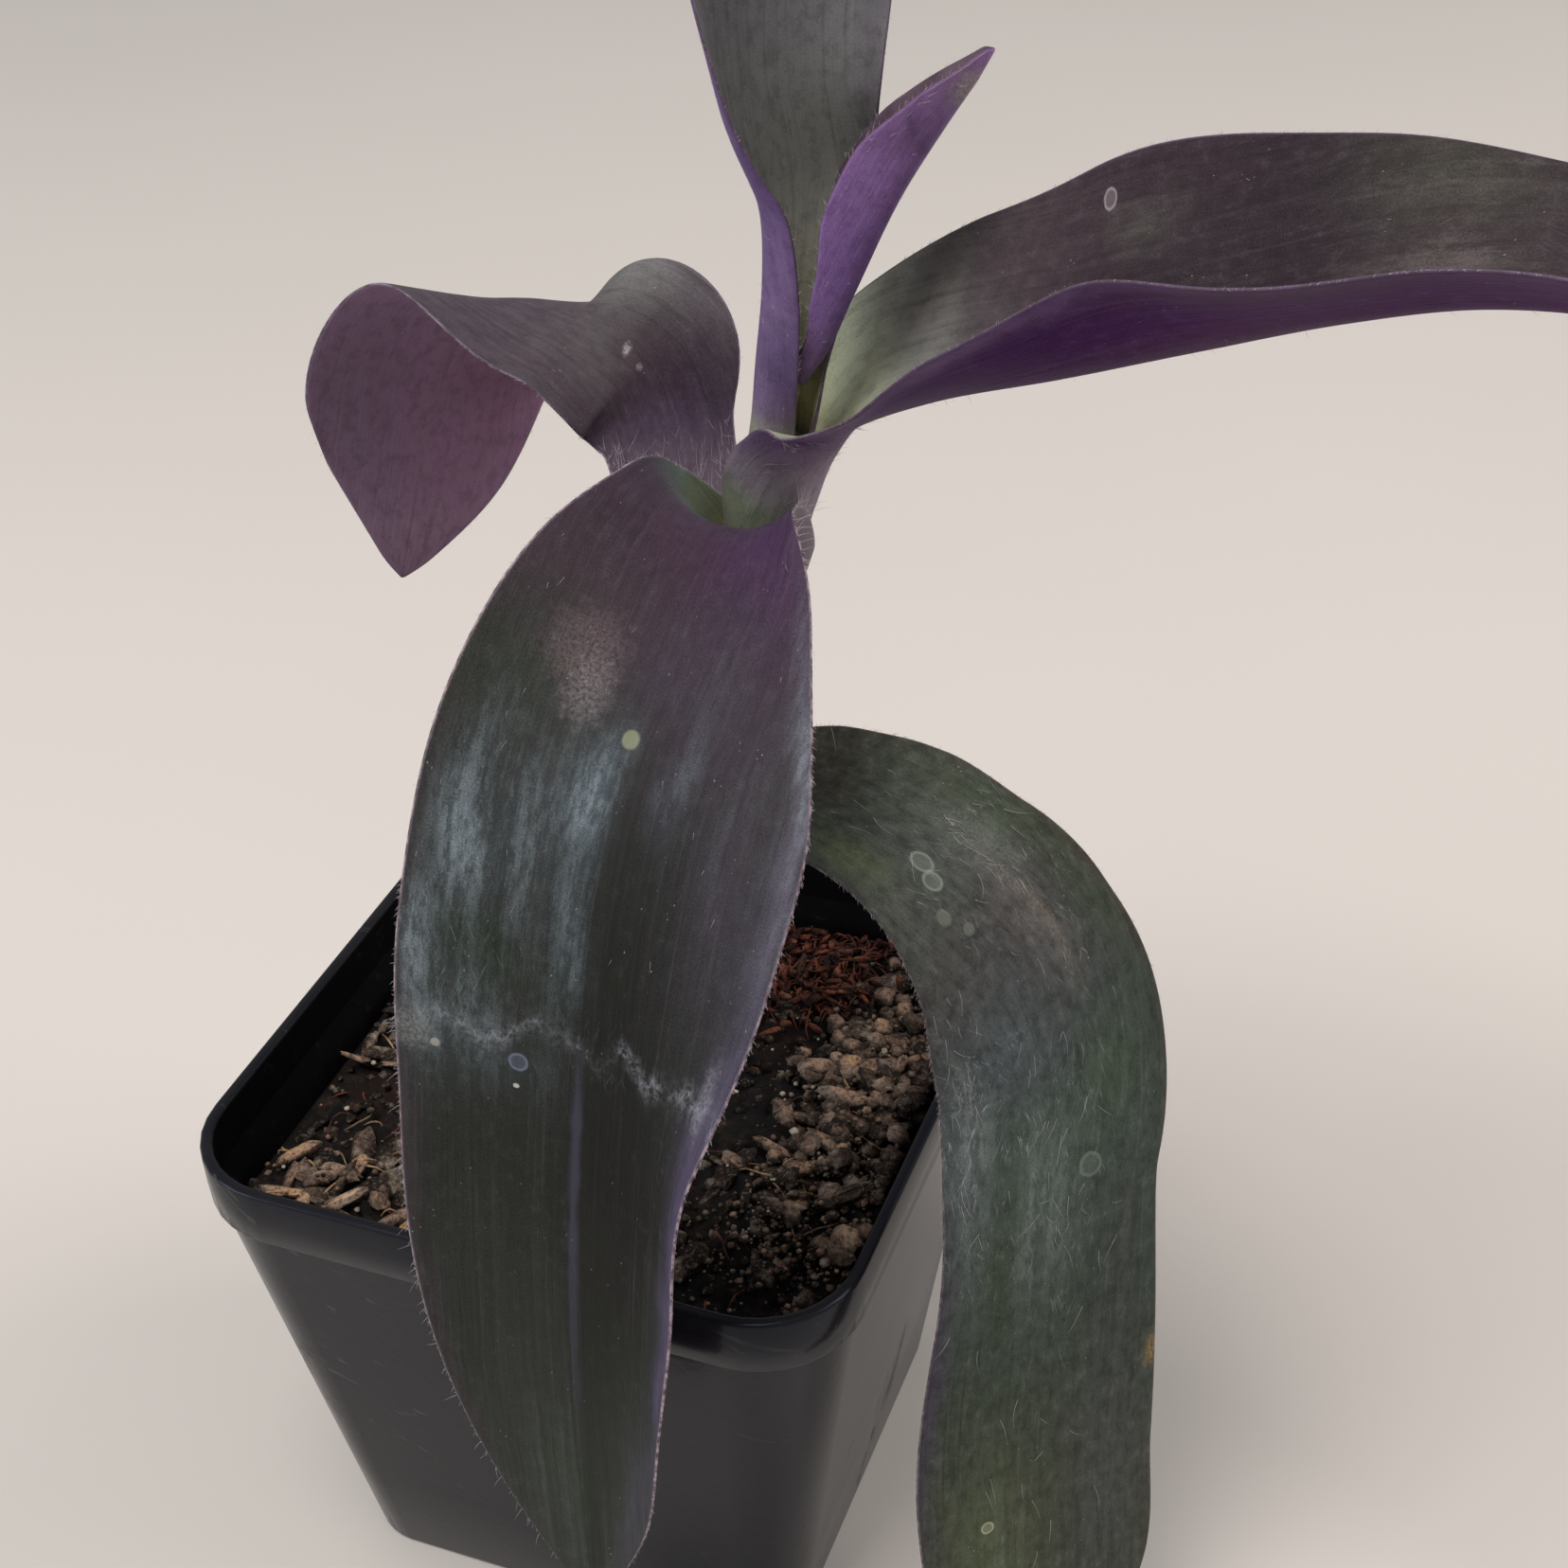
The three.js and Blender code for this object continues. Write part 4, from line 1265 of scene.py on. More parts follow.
def mottled(tree, spread_out, body, mottle):
    """Clouds and a fine grain, and the two noises that they come from."""
    cloud = grain(tree, stretched(tree, spread_out, (1, 0.7, 1)), 8, 6, 0.72)
    body = layer(tree, between(tree, cloud, 0.36, 0.54, mottle, 0), body, "#0b0c0a")
    body = layer(tree, between(tree, cloud, 0.52, 0.7, 0, mottle * 0.22), body, "#a3a5a2")
    fine = grain(tree, spread_out, 62, 4, 0.8)
    body = layer(tree, between(tree, fine, 0.3, 0.52, 0.34, 0), body, "#0a0a0a")
    return layer(tree, between(tree, fine, 0.5, 0.72, 0, 0.07), body, "#a9a4a6"), cloud, fine


def ribbed(tree, spread_out, off_middle, v, body, rib):
    """A line on the midrib between two places along the leaf."""
    low, high, hex_colour, share = rib
    width = grain(tree, stretched(tree, spread_out, (1, 2.5, 1)), 1, 3)
    line = between(tree, minus(tree, off_middle, times(tree, width, 0.03)), -0.012, 0.008, 1, 0)
    shown = times(tree, between(tree, v, low, low + 0.05), between(tree, v, low + 0.1, high, 1, 0))
    return layer(tree, times(tree, times(tree, line, shown), share), body, hex_colour)


def frost_and_sheen_amount(tree, spread_out, fine, painted_frost_and_sheen):
    """How much frost and painted sheen show: the painted share, in bands, flecks and specks."""
    bands = grain(tree, stretched(tree, spread_out, (5, 0.5, 1)), 1, 4, 0.65)
    flecks = grain(tree, stretched(tree, spread_out, (1, 0.35, 1)), 17, 5, 0.75)
    patches = plus(tree, times(tree, bands, 0.5), times(tree, flecks, 0.5))
    patches = between(tree, patches, 0.43, 0.6, 0.15, 0.85)
    specks = times(tree, between(tree, fine, 0.3, 0.68, 0.3, 1), patches)
    return times(tree, specks, plus(tree, painted_frost_and_sheen, BARE_FROST))


def pored(tree, spread_out, body):
    stretched_out = stretched(tree, spread_out, (1, 0.6, 1))
    cells = put(tree, "TexVoronoi", {"Vector": stretched_out, "Scale": 15}).outputs["Distance"]
    some = between(tree, grain(tree, spread_out, 2.5, 2), 0.54, 0.62, 0, 0.5)
    return layer(tree, times(tree, between(tree, cells, 0.05, 0.1, 1, 0), some), body, "#aaa8a2")


print("skin without painted frost still has", BARE_FROST, "of it")

# %% [markdown]
# ## The whole skin
#
# One recipe lays those layers over each other for both skins of every leaf, adds the leaf's own
# marks and a pale fringe at the margin, and makes skin under frost and painted sheen a little
# duller. Ridges of the veins and a groove over the midrib give the bumps. The cut edge has no
# green between its skins, so it gets a plain pale finish.

# %% The whole skin
def leaf_skin(
    name, leaf, side, frost_and_sheen_colour, rough, rim, marks=(), rib=None, tide=None, mottle=0.25,
    split=(1.0, 0.0), shine=0.13,
):
    """The upper or the under skin; the pair for the shaded half gives the frost and sheen kept on the half
    painted in shade, and how dark that painted shade is.
    """
    made, tree = new_finish(name, rough, Specular_IOR_Level=shine)
    spread_out, u, v = leaf_maps(tree)
    paint = put(tree, "Attribute", attribute_name=side)
    off_middle = maths(tree, "ABSOLUTE", minus(tree, u, 0.5))
    dark_veins = 0.3 if side == "upper" else 0.16
    body, veins = veined(tree, spread_out, paint.outputs["Color"], dark_veins)
    body, cloud, fine = mottled(tree, spread_out, body, mottle)
    left_half = minus(tree, 1.0, between(tree, u, 0.494, 0.507))
    # Painted shade: below its middle, the left half is darkened near the midrib and keeps less frost and
    # sheen.
    painted_shade_half = times(tree, left_half, between(tree, v, 0.4, 0.5))
    frost_and_sheen_left, depth = split
    if depth:
        inner = times(tree, painted_shade_half, between(tree, off_middle, 0.06, 0.34, depth, 0))
        body = layer(tree, inner, body, "#11120e")
    if rib:
        body = ribbed(tree, spread_out, off_middle, v, body, rib)
    frost_and_sheen = frost_and_sheen_amount(tree, spread_out, fine, paint.outputs["Alpha"])
    frost_and_sheen = times(tree, frost_and_sheen, minus(tree, 1.0, times(tree, painted_shade_half, 1 - frost_and_sheen_left)))
    body = layer(tree, frost_and_sheen, body, frost_and_sheen_colour)
    body = pored(tree, spread_out, body)
    if tide:
        body = layer(tree, times(tree, tide_line(tree, spread_out, v, tide), 0.5), body, "#9d9fa9")
    for kind, place, across, size, hex_colour, share in marks:
        shown = MARKS[kind](tree, spread_out, spread(leaf, place, across), size)
        body = layer(tree, times(tree, shown, share), body, hex_colour)
    fringe = plus(tree, off_middle, times(tree, fine, 0.012))
    body = layer(tree, between(tree, fringe, 0.495, 0.505, 0, rim[1]), body, rim[0])
    dull = plus(tree, times(tree, cloud, 0.6), frost_and_sheen)
    dull = between(tree, dull, 0.1, 1.2, rough - 0.05, rough + 0.2)
    ridges = plus(tree, times(tree, veins, 0.8), times(tree, fine, 0.4))
    middle = between(tree, off_middle, 0.002, 0.03, 1, 0)
    groove = times(tree, middle, between(tree, v, 0.2, 0.5, 0, -0.9))
    return dressed(made, body, relief(tree, plus(tree, ridges, groove), 0.6, 0.00022), dull)


def edge_skin(name, hex_colour):
    """The pale rim of a blade, where no green lies between the skins."""
    made, tree = new_finish(name, 0.5, Specular_IOR_Level=0.25)
    spread_out = put(tree, "UVMap", uv_map="spread").outputs[0]
    dusk = between(tree, grain(tree, spread_out, 12, 4), 0.35, 0.6)
    return dressed(made, layer(tree, dusk, hex_colour, "#4d3f4c"))


print("leaf skin ready, with", len(MARKS), "kinds of marks and one tide line")

# %% [markdown]
# ## The colours of each leaf
#
# No two leaves of this plant have the same colour. The old one at the lower right is grey-green
# and scratched, with a painted shadow of the front leaf on its base. The one in front is purple
# where it leaves the stem and dark olive below, with a silvery frost on its left half, over which
# a bluish sheen of reflected light is painted; below its middle the half without that frost is
# painted darker, as painted shade. The younger ones are purple, and their undersides most of all.
# A leaf's colours are stops along its midrib, from the stem to the tip. Tints are laid over them,
# each a soft patch: its place along and across the blade, its reach both ways, its colour, how
# strong it is, and how much frost lies on it, which on the front leaf is also painted sheen.

# %% Paint the old leaves
FRONT_LEAF["upper"] = [
    (0.0, "#a3a468"), (0.15, "#93a184"), (0.2, "#6c7b74"), (0.25, "#4c4250"), (0.3, "#442f42"),
    (0.36, "#372733"), (0.41, "#2e2829"), (0.48, "#252420"), (0.58, "#21221d"), (0.68, "#1d1f1a"),
    (0.8, "#282b25"), (1.0, "#363933"),
]
# On the half where across is above 0, the bluish tints with much frost are a painted sheen: reflected light
# of the window lamp over the wax.
FRONT_LEAF["upper_tints"] = [
    (0.29, -0.6, 0.08, 0.6, "#42284a", 0.8, 0.02), (0.33, 0.75, 0.07, 0.4, "#33262d", 0.7, 0.03),
    (0.425, 0.75, 0.04, 0.4, "#22281d", 0.85, 0.05), (0.4, -0.3, 0.05, 0.45, "#36293a", 0.7, 0.05),
    (0.5, 0.7, 0.045, 0.16, "#2c3438", 0.8, 0.75), (0.47, 0.15, 0.028, 0.14, "#38434a", 0.9, 0.8),
    (0.5, 0.4, 0.05, 0.14, "#2a3032", 0.6, 0.4), (0.53, 0.12, 0.05, 0.1, "#2e373b", 0.7, 0.4),
    (0.56, 0.6, 0.02, 0.3, "#1c2716", 0.8, 0.0), (0.575, 0.9, 0.05, 0.14, "#31383a", 0.6, 0.75),
    (0.6, 0.7, 0.03, 0.3, "#29302c", 0.6, 0.45), (0.46, -0.28, 0.03, 0.07, "#3a3947", 0.7, 0.5),
    (0.5, -0.62, 0.07, 0.22, "#37303a", 0.8, 0.2), (0.47, -0.97, 0.09, 0.09, "#57515f", 0.85, 0.9),
    (0.62, 0.5, 0.02, 0.4, "#262d2c", 0.7, 0.15), (0.72, 0.97, 0.2, 0.08, "#33272c", 0.8, 0.05),
    # The near-black tint at 0.67 just below is a painted shadow.
    (0.7, -0.95, 0.14, 0.17, "#574c69", 0.9, 0.15), (0.67, -0.35, 0.12, 0.35, "#060604", 0.95, 0.0),
    (0.9, -0.75, 0.08, 0.25, "#3a3742", 0.7, 0.1), (0.9, 0.1, 0.06, 0.5, "#30372b", 0.7, 0.05),
]
# The dark brown-olive stop at 0.25 is a painted shadow, cast by the front leaf on this leaf's base.
LOWER_RIGHT_LEAF["upper"] = [
    (0.0, "#56563f"), (0.25, "#3c382f"), (0.31, "#3c4139"), (0.38, "#434741"), (0.46, "#484746"),
    (0.55, "#3d4544"), (0.65, "#39463e"), (0.75, "#354036"), (0.85, "#3b4031"), (1.0, "#3a3c33"),
]
LOWER_RIGHT_LEAF["upper_tints"] = [
    (0.33, 0.5, 0.03, 0.25, "#4b5638", 0.8, 0.1), (0.45, -0.85, 0.14, 0.25, "#35402c", 0.85, 0.05),
    (0.47, -0.25, 0.06, 0.25, "#4f4849", 0.7, 0.2), (0.54, 0.4, 0.05, 0.4, "#3e464d", 0.7, 0.3),
    (0.61, 0.8, 0.09, 0.2, "#464b51", 0.7, 0.7), (0.76, 0.98, 0.09, 0.12, "#3c3246", 0.9, 0.0),
    (0.67, 0.1, 0.06, 0.3, "#425148", 0.6, 0.6), (0.7, -0.7, 0.1, 0.25, "#303835", 0.7, 0.1),
    (0.71, 0.5, 0.04, 0.15, "#2c3a1b", 0.5, 0.0), (0.86, 0.4, 0.035, 0.35, "#475034", 0.9, 0.2),
    (0.85, -0.6, 0.09, 0.4, "#3a3a3c", 0.7, 0.1), (0.5, -1.0, 0.2, 0.05, "#40302f", 0.8, 0.0),
    (0.38, 0.0, 0.04, 0.2, "#2b3430", 0.6, 0.2), (0.59, -0.45, 0.04, 0.3, "#354632", 0.7, 0.1),
]
BACK_LEFT_LEAF["upper"] = [
    (0.0, "#5d5854"), (0.2, "#5e5460"), (0.34, "#5a4c5c"), (0.41, "#453748"), (0.5, "#3a2d37"),
    (0.56, "#4d474a"), (0.64, "#4c424b"), (1.0, "#4e3d4b"),
]
BACK_LEFT_LEAF["upper_tints"] = [
    (0.54, 0.9, 0.06, 0.35, "#6c6c69", 0.95, 0.25), (0.5, 0.9, 0.04, 0.3, "#54464f", 0.6, 0.1),
    (0.56, -0.75, 0.05, 0.3, "#453644", 0.7, 0.1), (0.42, 0.0, 0.03, 0.5, "#4a3b55", 0.7, 0.1),
]
RIGHT_LEAF["upper"] = [
    (0.0, "#b0aa7c"), (0.14, "#b5b287"), (0.22, "#c5c8aa"), (0.29, "#8c8e85"), (0.36, "#4d4547"),
    (0.45, "#32232d"), (0.58, "#2c1f28"), (0.72, "#30242a"), (0.86, "#2e232b"), (1.0, "#32272f"),
]
RIGHT_LEAF["upper_tints"] = [
    (0.24, -0.5, 0.05, 0.5, "#babda0", 0.7, 0.1), (0.31, -0.4, 0.03, 0.5, "#625e5e", 0.6, 0.3),
    (0.48, -0.7, 0.03, 0.12, "#4b4a40", 0.6, 0.25), (0.42, -0.8, 0.08, 0.3, "#36262f", 0.7, 0.1),
    (0.53, -0.3, 0.05, 0.3, "#271d24", 0.6, 0.1), (0.68, -0.8, 0.06, 0.3, "#343329", 0.7, 0.2),
    (0.68, -0.2, 0.05, 0.3, "#3b302f", 0.6, 0.5), (0.8, 0.2, 0.08, 0.5, "#382e34", 0.6, 0.2),
    (0.5, 0.9, 0.2, 0.12, "#4e3e58", 0.7, 0.1), (0.18, -0.8, 0.05, 0.4, "#8f8a60", 0.9, 0.0),
    (0.62, 0.97, 0.1, 0.2, "#3c2540", 0.8, 0.0),
]
print("old leaves painted")

# %% [markdown]
# ## The young leaves and the undersides
#
# The top leaf is pale and greenish on its inner side, which faces the light, and the youngest
# leaf is nearly pink at its tip. The undersides carry most of the purple. They are palest where
# they clasp the stem, and deep violet under the long leaf at the right.

# %% Paint the young leaves and the undersides
TOP_LEAF["upper"] = [
    (0.0, "#85835a"), (0.3, "#8b8a76"), (0.42, "#86867e"), (0.6, "#6f6f71"), (1.0, "#65636a"),
]
TOP_LEAF["upper_tints"] = [
    (0.17, 0.6, 0.06, 0.6, "#c9c196", 1.0, 0.0), (0.5, 0.9, 0.2, 0.2, "#463c46", 0.7, 0.1),
    (0.6, -0.6, 0.2, 0.3, "#4d4a4a", 0.6, 0.2),
]
YOUNG_LEAF["upper"] = [(0.0, "#3e3038"), (0.6, "#4b3644"), (1.0, "#5c4a58")]
YOUNG_LEAF["upper_tints"] = [(0.9, 0.3, 0.06, 0.5, "#7a6a70", 0.8, 0.6)]
FRONT_LEAF["under"] = [(0.0, "#665e5c"), (0.2, "#6a5b6a"), (0.5, "#523d52"), (1.0, "#4d3c4d")]
LOWER_RIGHT_LEAF["under"] = [(0.0, "#5a5648"), (0.3, "#52485a"), (0.6, "#4f3c52"), (1.0, "#4b3c4a")]
BACK_LEFT_LEAF["under"] = [
    (0.0, "#5c5650"), (0.3, "#75637c"), (0.6, "#906f8f"), (0.85, "#8c6c88"), (1.0, "#725c6d"),
]
RIGHT_LEAF["under"] = [
    (0.0, "#8f8480"), (0.12, "#86748a"), (0.24, "#5c3b68"), (0.4, "#3d1250"), (1.0, "#472050"),
]
TOP_LEAF["under"] = [(0.0, "#8b7688"), (0.3, "#6c557c"), (0.6, "#553c72"), (1.0, "#5a4470")]
YOUNG_LEAF["under"] = [(0.0, "#6f5876"), (0.4, "#82619b"), (1.0, "#9570a2")]
FRONT_LEAF["under_tints"] = [(0.14, -0.8, 0.1, 0.3, "#6a5f68", 0.7, 0.5)]
LOWER_RIGHT_LEAF["under_tints"] = [(0.14, 0.8, 0.1, 0.3, "#6a5f68", 0.5, 0.4)]
BACK_LEFT_LEAF["under_tints"] = [
    (0.82, -0.7, 0.12, 0.4, "#7a657c", 0.8, 0.15), (0.8, 0.6, 0.1, 0.4, "#865f79", 0.8, 0.1),
]
RIGHT_LEAF["under_tints"] = [
    (0.42, 0.5, 0.12, 0.5, "#360a47", 0.9, 0.0), (0.16, 0.2, 0.05, 0.8, "#8c8086", 0.7, 0.6),
    (0.4, 0.98, 0.3, 0.1, "#6d5878", 0.7, 0.2), (0.6, 0.2, 0.2, 0.3, "#43223f", 0.7, 0.1),
    (0.08, 0.7, 0.05, 0.5, "#848d77", 1.0, 0.1), (0.14, 0.5, 0.03, 0.4, "#8f8488", 0.6, 0.3),
    (0.64, 0.85, 0.1, 0.2, "#3f2442", 0.85, 0.0),
]
TOP_LEAF["under_tints"] = [
    (0.12, -0.7, 0.04, 0.9, "#848a76", 0.95, 0.1), (0.24, -0.75, 0.06, 0.4, "#4b3a5e", 0.9, 0.03),
]
YOUNG_LEAF["under_tints"] = [
    (0.9, 0.2, 0.05, 0.6, "#7c7075", 0.8, 0.7), (0.75, 0.5, 0.06, 0.3, "#4a3548", 0.6, 0.1),
]
print("tints:", {name: len(leaf["upper_tints"]) + len(leaf["under_tints"]) for name, leaf in leaves.items()})

# %% [markdown]
# ## Build the leaves
#
# The marks are what time left on a leaf: dots where something pierced the skin, rings of dried
# drops, scuffs and wisps. The first two scuffs of the front leaf are a painted highlight instead,
# a pinkish reflection of the light from above. Each is a kind, its place along and across the
# leaf, its reach in centimetres, its colour and its strength. A leaf's finish is its two skins
# and its edge, and the blades are then built with them.

# %% Build the leaves
front_marks_and_highlight = [
    # The two pinkish scuffs on this line are a painted highlight, reflected light from above.
    ("scuff", 0.4, 0.42, (0.42, 0.4), "#8a7479", 0.42), ("scuff", 0.42, 0.32, (0.26, 0.34), "#a2959a", 0.4),
    ("dot", 0.436, 0.02, (0.075, 0.085), "#83886f", 0.8),
    ("ring", 0.618, 0.33, (0.085, 0.085), "#70748a", 0.7),
    ("dot", 0.632, 0.34, (0.03, 0.025), "#c3c2b6", 0.8), ("dot", 0.617, 0.78, (0.045, 0.045), "#a9a99e", 0.6),
    ("scuff", 0.61, 0.9, (0.22, 0.3), "#9a9f9c", 0.6), ("scuff", 0.595, -0.85, (0.1, 0.4), "#9a98a4", 0.5),
    ("wisps", 0.56, 0.75, (0.8, 1.1), "#9aa2a4", 0.4), ("wisps", 0.6, 0.1, (1.6, 0.45), "#8f959a", 0.25),
]
lower_marks = [
    ("ring", 0.378, -0.03, (0.08, 0.11), "#878c84", 0.6),
    ("ring", 0.392, 0.08, (0.075, 0.095), "#878c84", 0.6),
    ("dot", 0.414, 0.31, (0.065, 0.085), "#70766c", 0.5), ("dot", 0.436, 0.2, (0.06, 0.065), "#70766c", 0.5),
    ("scuff", 0.475, -0.36, (0.09, 0.8), "#857c70", 0.6), ("scuff", 0.41, -0.5, (0.3, 0.5), "#8d968f", 0.25),
    ("wisps", 0.68, 0.0, (0.9, 2.2), "#9ba69e", 0.6), ("wisps", 0.6, 0.75, (0.55, 2.0), "#a9b0b4", 0.75),
    ("wisps", 0.42, -0.4, (0.9, 1.3), "#9ba69e", 0.55), ("ring", 0.85, 0.44, (0.07, 0.055), "#a5a88c", 0.8),
    ("scuff", 0.78, -0.97, (0.15, 0.2), "#96794c", 1.0), ("ring", 0.65, -0.3, (0.13, 0.13), "#8b978c", 0.3),
    ("wisps", 0.5, 0.2, (1.2, 3.5), "#8f9a93", 0.22),
]
right_marks = [
    ("ring", 0.461, -0.82, (0.085, 0.075), "#8f8288", 0.9), ("wisps", 0.7, -0.4, (0.8, 1.5), "#8c8280", 0.2),
]
back_marks = [
    ("scuff", 0.527, 0.0, (0.09, 0.05), "#b0a6a8", 1.0), ("scuff", 0.5, -0.06, (0.05, 0.04), "#9a9096", 0.9),
]
young_marks = [("scuff", 0.9, 0.31, (0.2, 0.2), "#b0a49c", 0.8)]


def skins(name, leaf, frost_and_sheen_colours, rim, under=None, **upper):
    """The finishes of a blade: its upper skin, its under skin and its edge."""
    return (
        leaf_skin(name + " upper skin", leaf, "upper", frost_and_sheen_colours[0], 0.5, rim, **upper),
        leaf_skin(name + " under skin", leaf, "under", frost_and_sheen_colours[1], 0.48, rim, **(under or {})),
        edge_skin(name + " edge", rim[0]),
    )


leaf_finishes = {
    # The front leaf's first frost colour, pale blue, is also its painted sheen; its left half is painted
    # darker below its middle, as painted shade.
    "front_leaf": skins(
        "front", FRONT_LEAF, ("#98a5ad", "#8b7d8c"), ("#9d8a93", 0.6), marks=front_marks_and_highlight,
        rib=(0.59, 0.92, "#4a475a", 0.5), tide=0.6, mottle=0.16, split=(0.3, 0.45),
    ),
    "lower_right_leaf": skins(
        "lower", LOWER_RIGHT_LEAF, ("#8b9590", "#8b7d8c"), ("#77706e", 0.4), marks=lower_marks,
        mottle=0.45,
    ),
    "back_left_leaf": skins(
        "back", BACK_LEFT_LEAF, ("#8f8a92", "#87727f"), ("#7c6c7e", 0.5), marks=back_marks,
        under={"rib": (0.6, 1.0, "#7f6470", 0.5)},
    ),
    "right_leaf": skins(
        "right", RIGHT_LEAF, ("#8d8682", "#7a5f8b"), ("#5d4a60", 0.35), marks=right_marks,
        under={"shine": 0.02},
    ),
    "top_leaf": skins("top", TOP_LEAF, ("#8b8c90", "#857592"), ("#5c4a66", 0.4)),
    "young_leaf": skins(
        "young", YOUNG_LEAF, ("#80707c", "#7d6c8c"), ("#5a4664", 0.4), under={"marks": young_marks},
    ),
}
for name, leaf in leaves.items():
    build_leaf(name, leaf, leaf_finishes[name])

# %% [markdown]
# ## The stem
#
# The stem leans, bends a little at each node and swells there, where a leaf clasps it. It is a
# ring of edges that is drawn along its line again and again, and thins to its top inside the
# youngest leaves. Fine grooves run along it, and a scar runs round above each node. Its skin is
# green and purple, brown and dry at the oldest nodes near the peat.

# %% Build the stem
STEM_LINE = [(0, 2, 22), (0, 2, 48), (4, 4, 74), (10, 7, 96), (13.5, 8, 110), (14.8, 8.3, 118)]
STEM_NODES = (62, 75.4, 87.8, 99.6, 104.6)
STEM_RADIUS = 2.85
STEM_TOP_RADIUS = 2.3
STEM_TIP_RADIUS = 1.5
SHOULDER = (107, 112)
NODE_SWELL = 0.3
SWELL_REACH = 1.6
SCAR_DEPTH = 0.14
SCAR_ABOVE = 0.9
SCAR_REACH = 0.22
STEM_SIDES = 32
STEM_STEPS = 220
TOP_FROM = 0.995
TOP_SHRINK = 0.6


def stem_radius(z):
    rise = held((z - POT_HEIGHT) / (SHOULDER[0] - POT_HEIGHT), 0, 1)
    near = held((z - SHOULDER[0]) / (SHOULDER[1] - SHOULDER[0]), 0, 1)
    narrowing = near * near * (3 - 2 * near)
    swell = max(math.exp(-(((z - node) / SWELL_REACH) ** 2)) for node in STEM_NODES)
    scar = max(math.exp(-(((z - node - SCAR_ABOVE) / SCAR_REACH) ** 2)) for node in STEM_NODES)
    taper = mix(mix(STEM_RADIUS, STEM_TOP_RADIUS, rise), STEM_TIP_RADIUS, narrowing)
    return taper + NODE_SWELL * swell - SCAR_DEPTH * scar


def on_stem(place, index):
    """A point of the ring at a place along the stem's line."""
    centre = Vector(sample_rows(STEM_LINE, place))
    along = direction_on(STEM_LINE, place)
    across = Vector((0, 1, 0)).cross(along).normalized()
    turn = 2 * math.pi * index / STEM_SIDES
    groove = 0.035 * math.sin(9 * turn) + 0.05 * noise.noise(Vector((turn * 3, centre.z * 0.3, 4)))
    radius = stem_radius(centre.z) * (1 if place < TOP_FROM else TOP_SHRINK) + groove
    out = across * math.cos(turn) + along.cross(across) * math.sin(turn)
    return (centre + out * radius) * MM


def build_stem():
    bm = bmesh.new()
    places = [step / STEM_STEPS for step in range(STEM_STEPS + 1)]
    for end in draw_rings(bm, STEM_SIDES, places, on_stem):
        bmesh.ops.edgeloop_fill(bm, edges=end)
    bmesh.ops.recalc_face_normals(bm, faces=bm.faces)
    return bm


STEM_TONES = [(0.0, "#4d3c2f"), (0.12, "#5d5a44"), (0.4, "#5c6048"), (0.7, "#5f5158"), (1.0, "#585b4e")]
DRY_NODES = STEM_NODES[:4]


def stem_skin():
    made, tree = new_finish("stem skin", 0.42, Specular_IOR_Level=0.4)
    at = place_in(tree)
    height = put(tree, "SeparateXYZ", {0: at}).outputs[2]
    body = colour_along(tree, between(tree, height, 0.045, 0.12), STEM_TONES)
    streaks = grain(tree, stretched(tree, at, (1, 1, 0.1)), 900, 4)
    body = layer(tree, between(tree, streaks, 0.45, 0.7, 0, 0.6), body, "#5a3f55")
    body = layer(tree, between(tree, grain(tree, at, 350, 4), 0.58, 0.72, 0, 0.6), body, "#6d5644")
    for node in DRY_NODES:
        low = between(tree, height, (node - 1.0) * MM, (node + 0.6) * MM)
        high = between(tree, height, (node + 0.7) * MM, (node + 1.3) * MM, 1, 0)
        body = layer(tree, times(tree, times(tree, low, high), 0.6), body, "#6b4d38")
    return dressed(made, body, relief(tree, streaks, 0.5, 0.0002))


finish_piece("stem_skin", build_stem(), [stem_skin()], "stem", ["stem"], sharp=180)

# %% [markdown]
# ## Hairs
#
# The plant is hairy. Long soft hairs stand where a blade leaves its sheath, finer ones fringe
# the margins, and on the old leaf at the lower right they lie flat and catch the light like
# scratches. Most start a little under the skin, the lying ones just over it, and all of them
# bend on the way. A hair that would reach out of the frame's box is left out.

# %% Tools for hairs
HAIR_STEPS = 4
HAIR_SUNK = 0.12 * MM
HAIR_THICK = 0.03 * MM
SKIN_LIFT = 0.3 * MM
LYING_LIFT = 0.42 * MM


def hair(root, way, bend, length, sunk=HAIR_SUNK):
    """A thread that starts a little under its root and bends as it goes."""
    at = root - way * sunk
    thread = [(at, 1.0)]
    for step in range(1, HAIR_STEPS + 1):
        way = (way + bend / HAIR_STEPS).normalized()
        at = at + way * (length / HAIR_STEPS)
        thread.append((at, 1 - 0.85 * (step / HAIR_STEPS) ** 2))
    return thread


def scatter(draw, amount):
    return Vector([draw.gauss(0, amount) for _ in range(3)])


def standing_hairs(leaf, draw, count, places, acrosses, lengths, lift, upper=True, wild=0.2):
    """Hairs on one side of a blade; lift 0 lies towards the tip, 1 stands up."""
    hairs = []
    for _ in range(count):
        point, normal, along = on_leaf(leaf, draw.uniform(*places), draw.uniform(*acrosses))
        out = normal if upper else -normal
        way = (along * (1 - lift) + out * (lift + 0.06)).normalized() + scatter(draw, wild)
        bend = scatter(draw, 0.3) + along * 0.4
        hairs.append(hair(point + out * SKIN_LIFT, way.normalized(), bend, draw.uniform(*lengths) * MM))
    return hairs


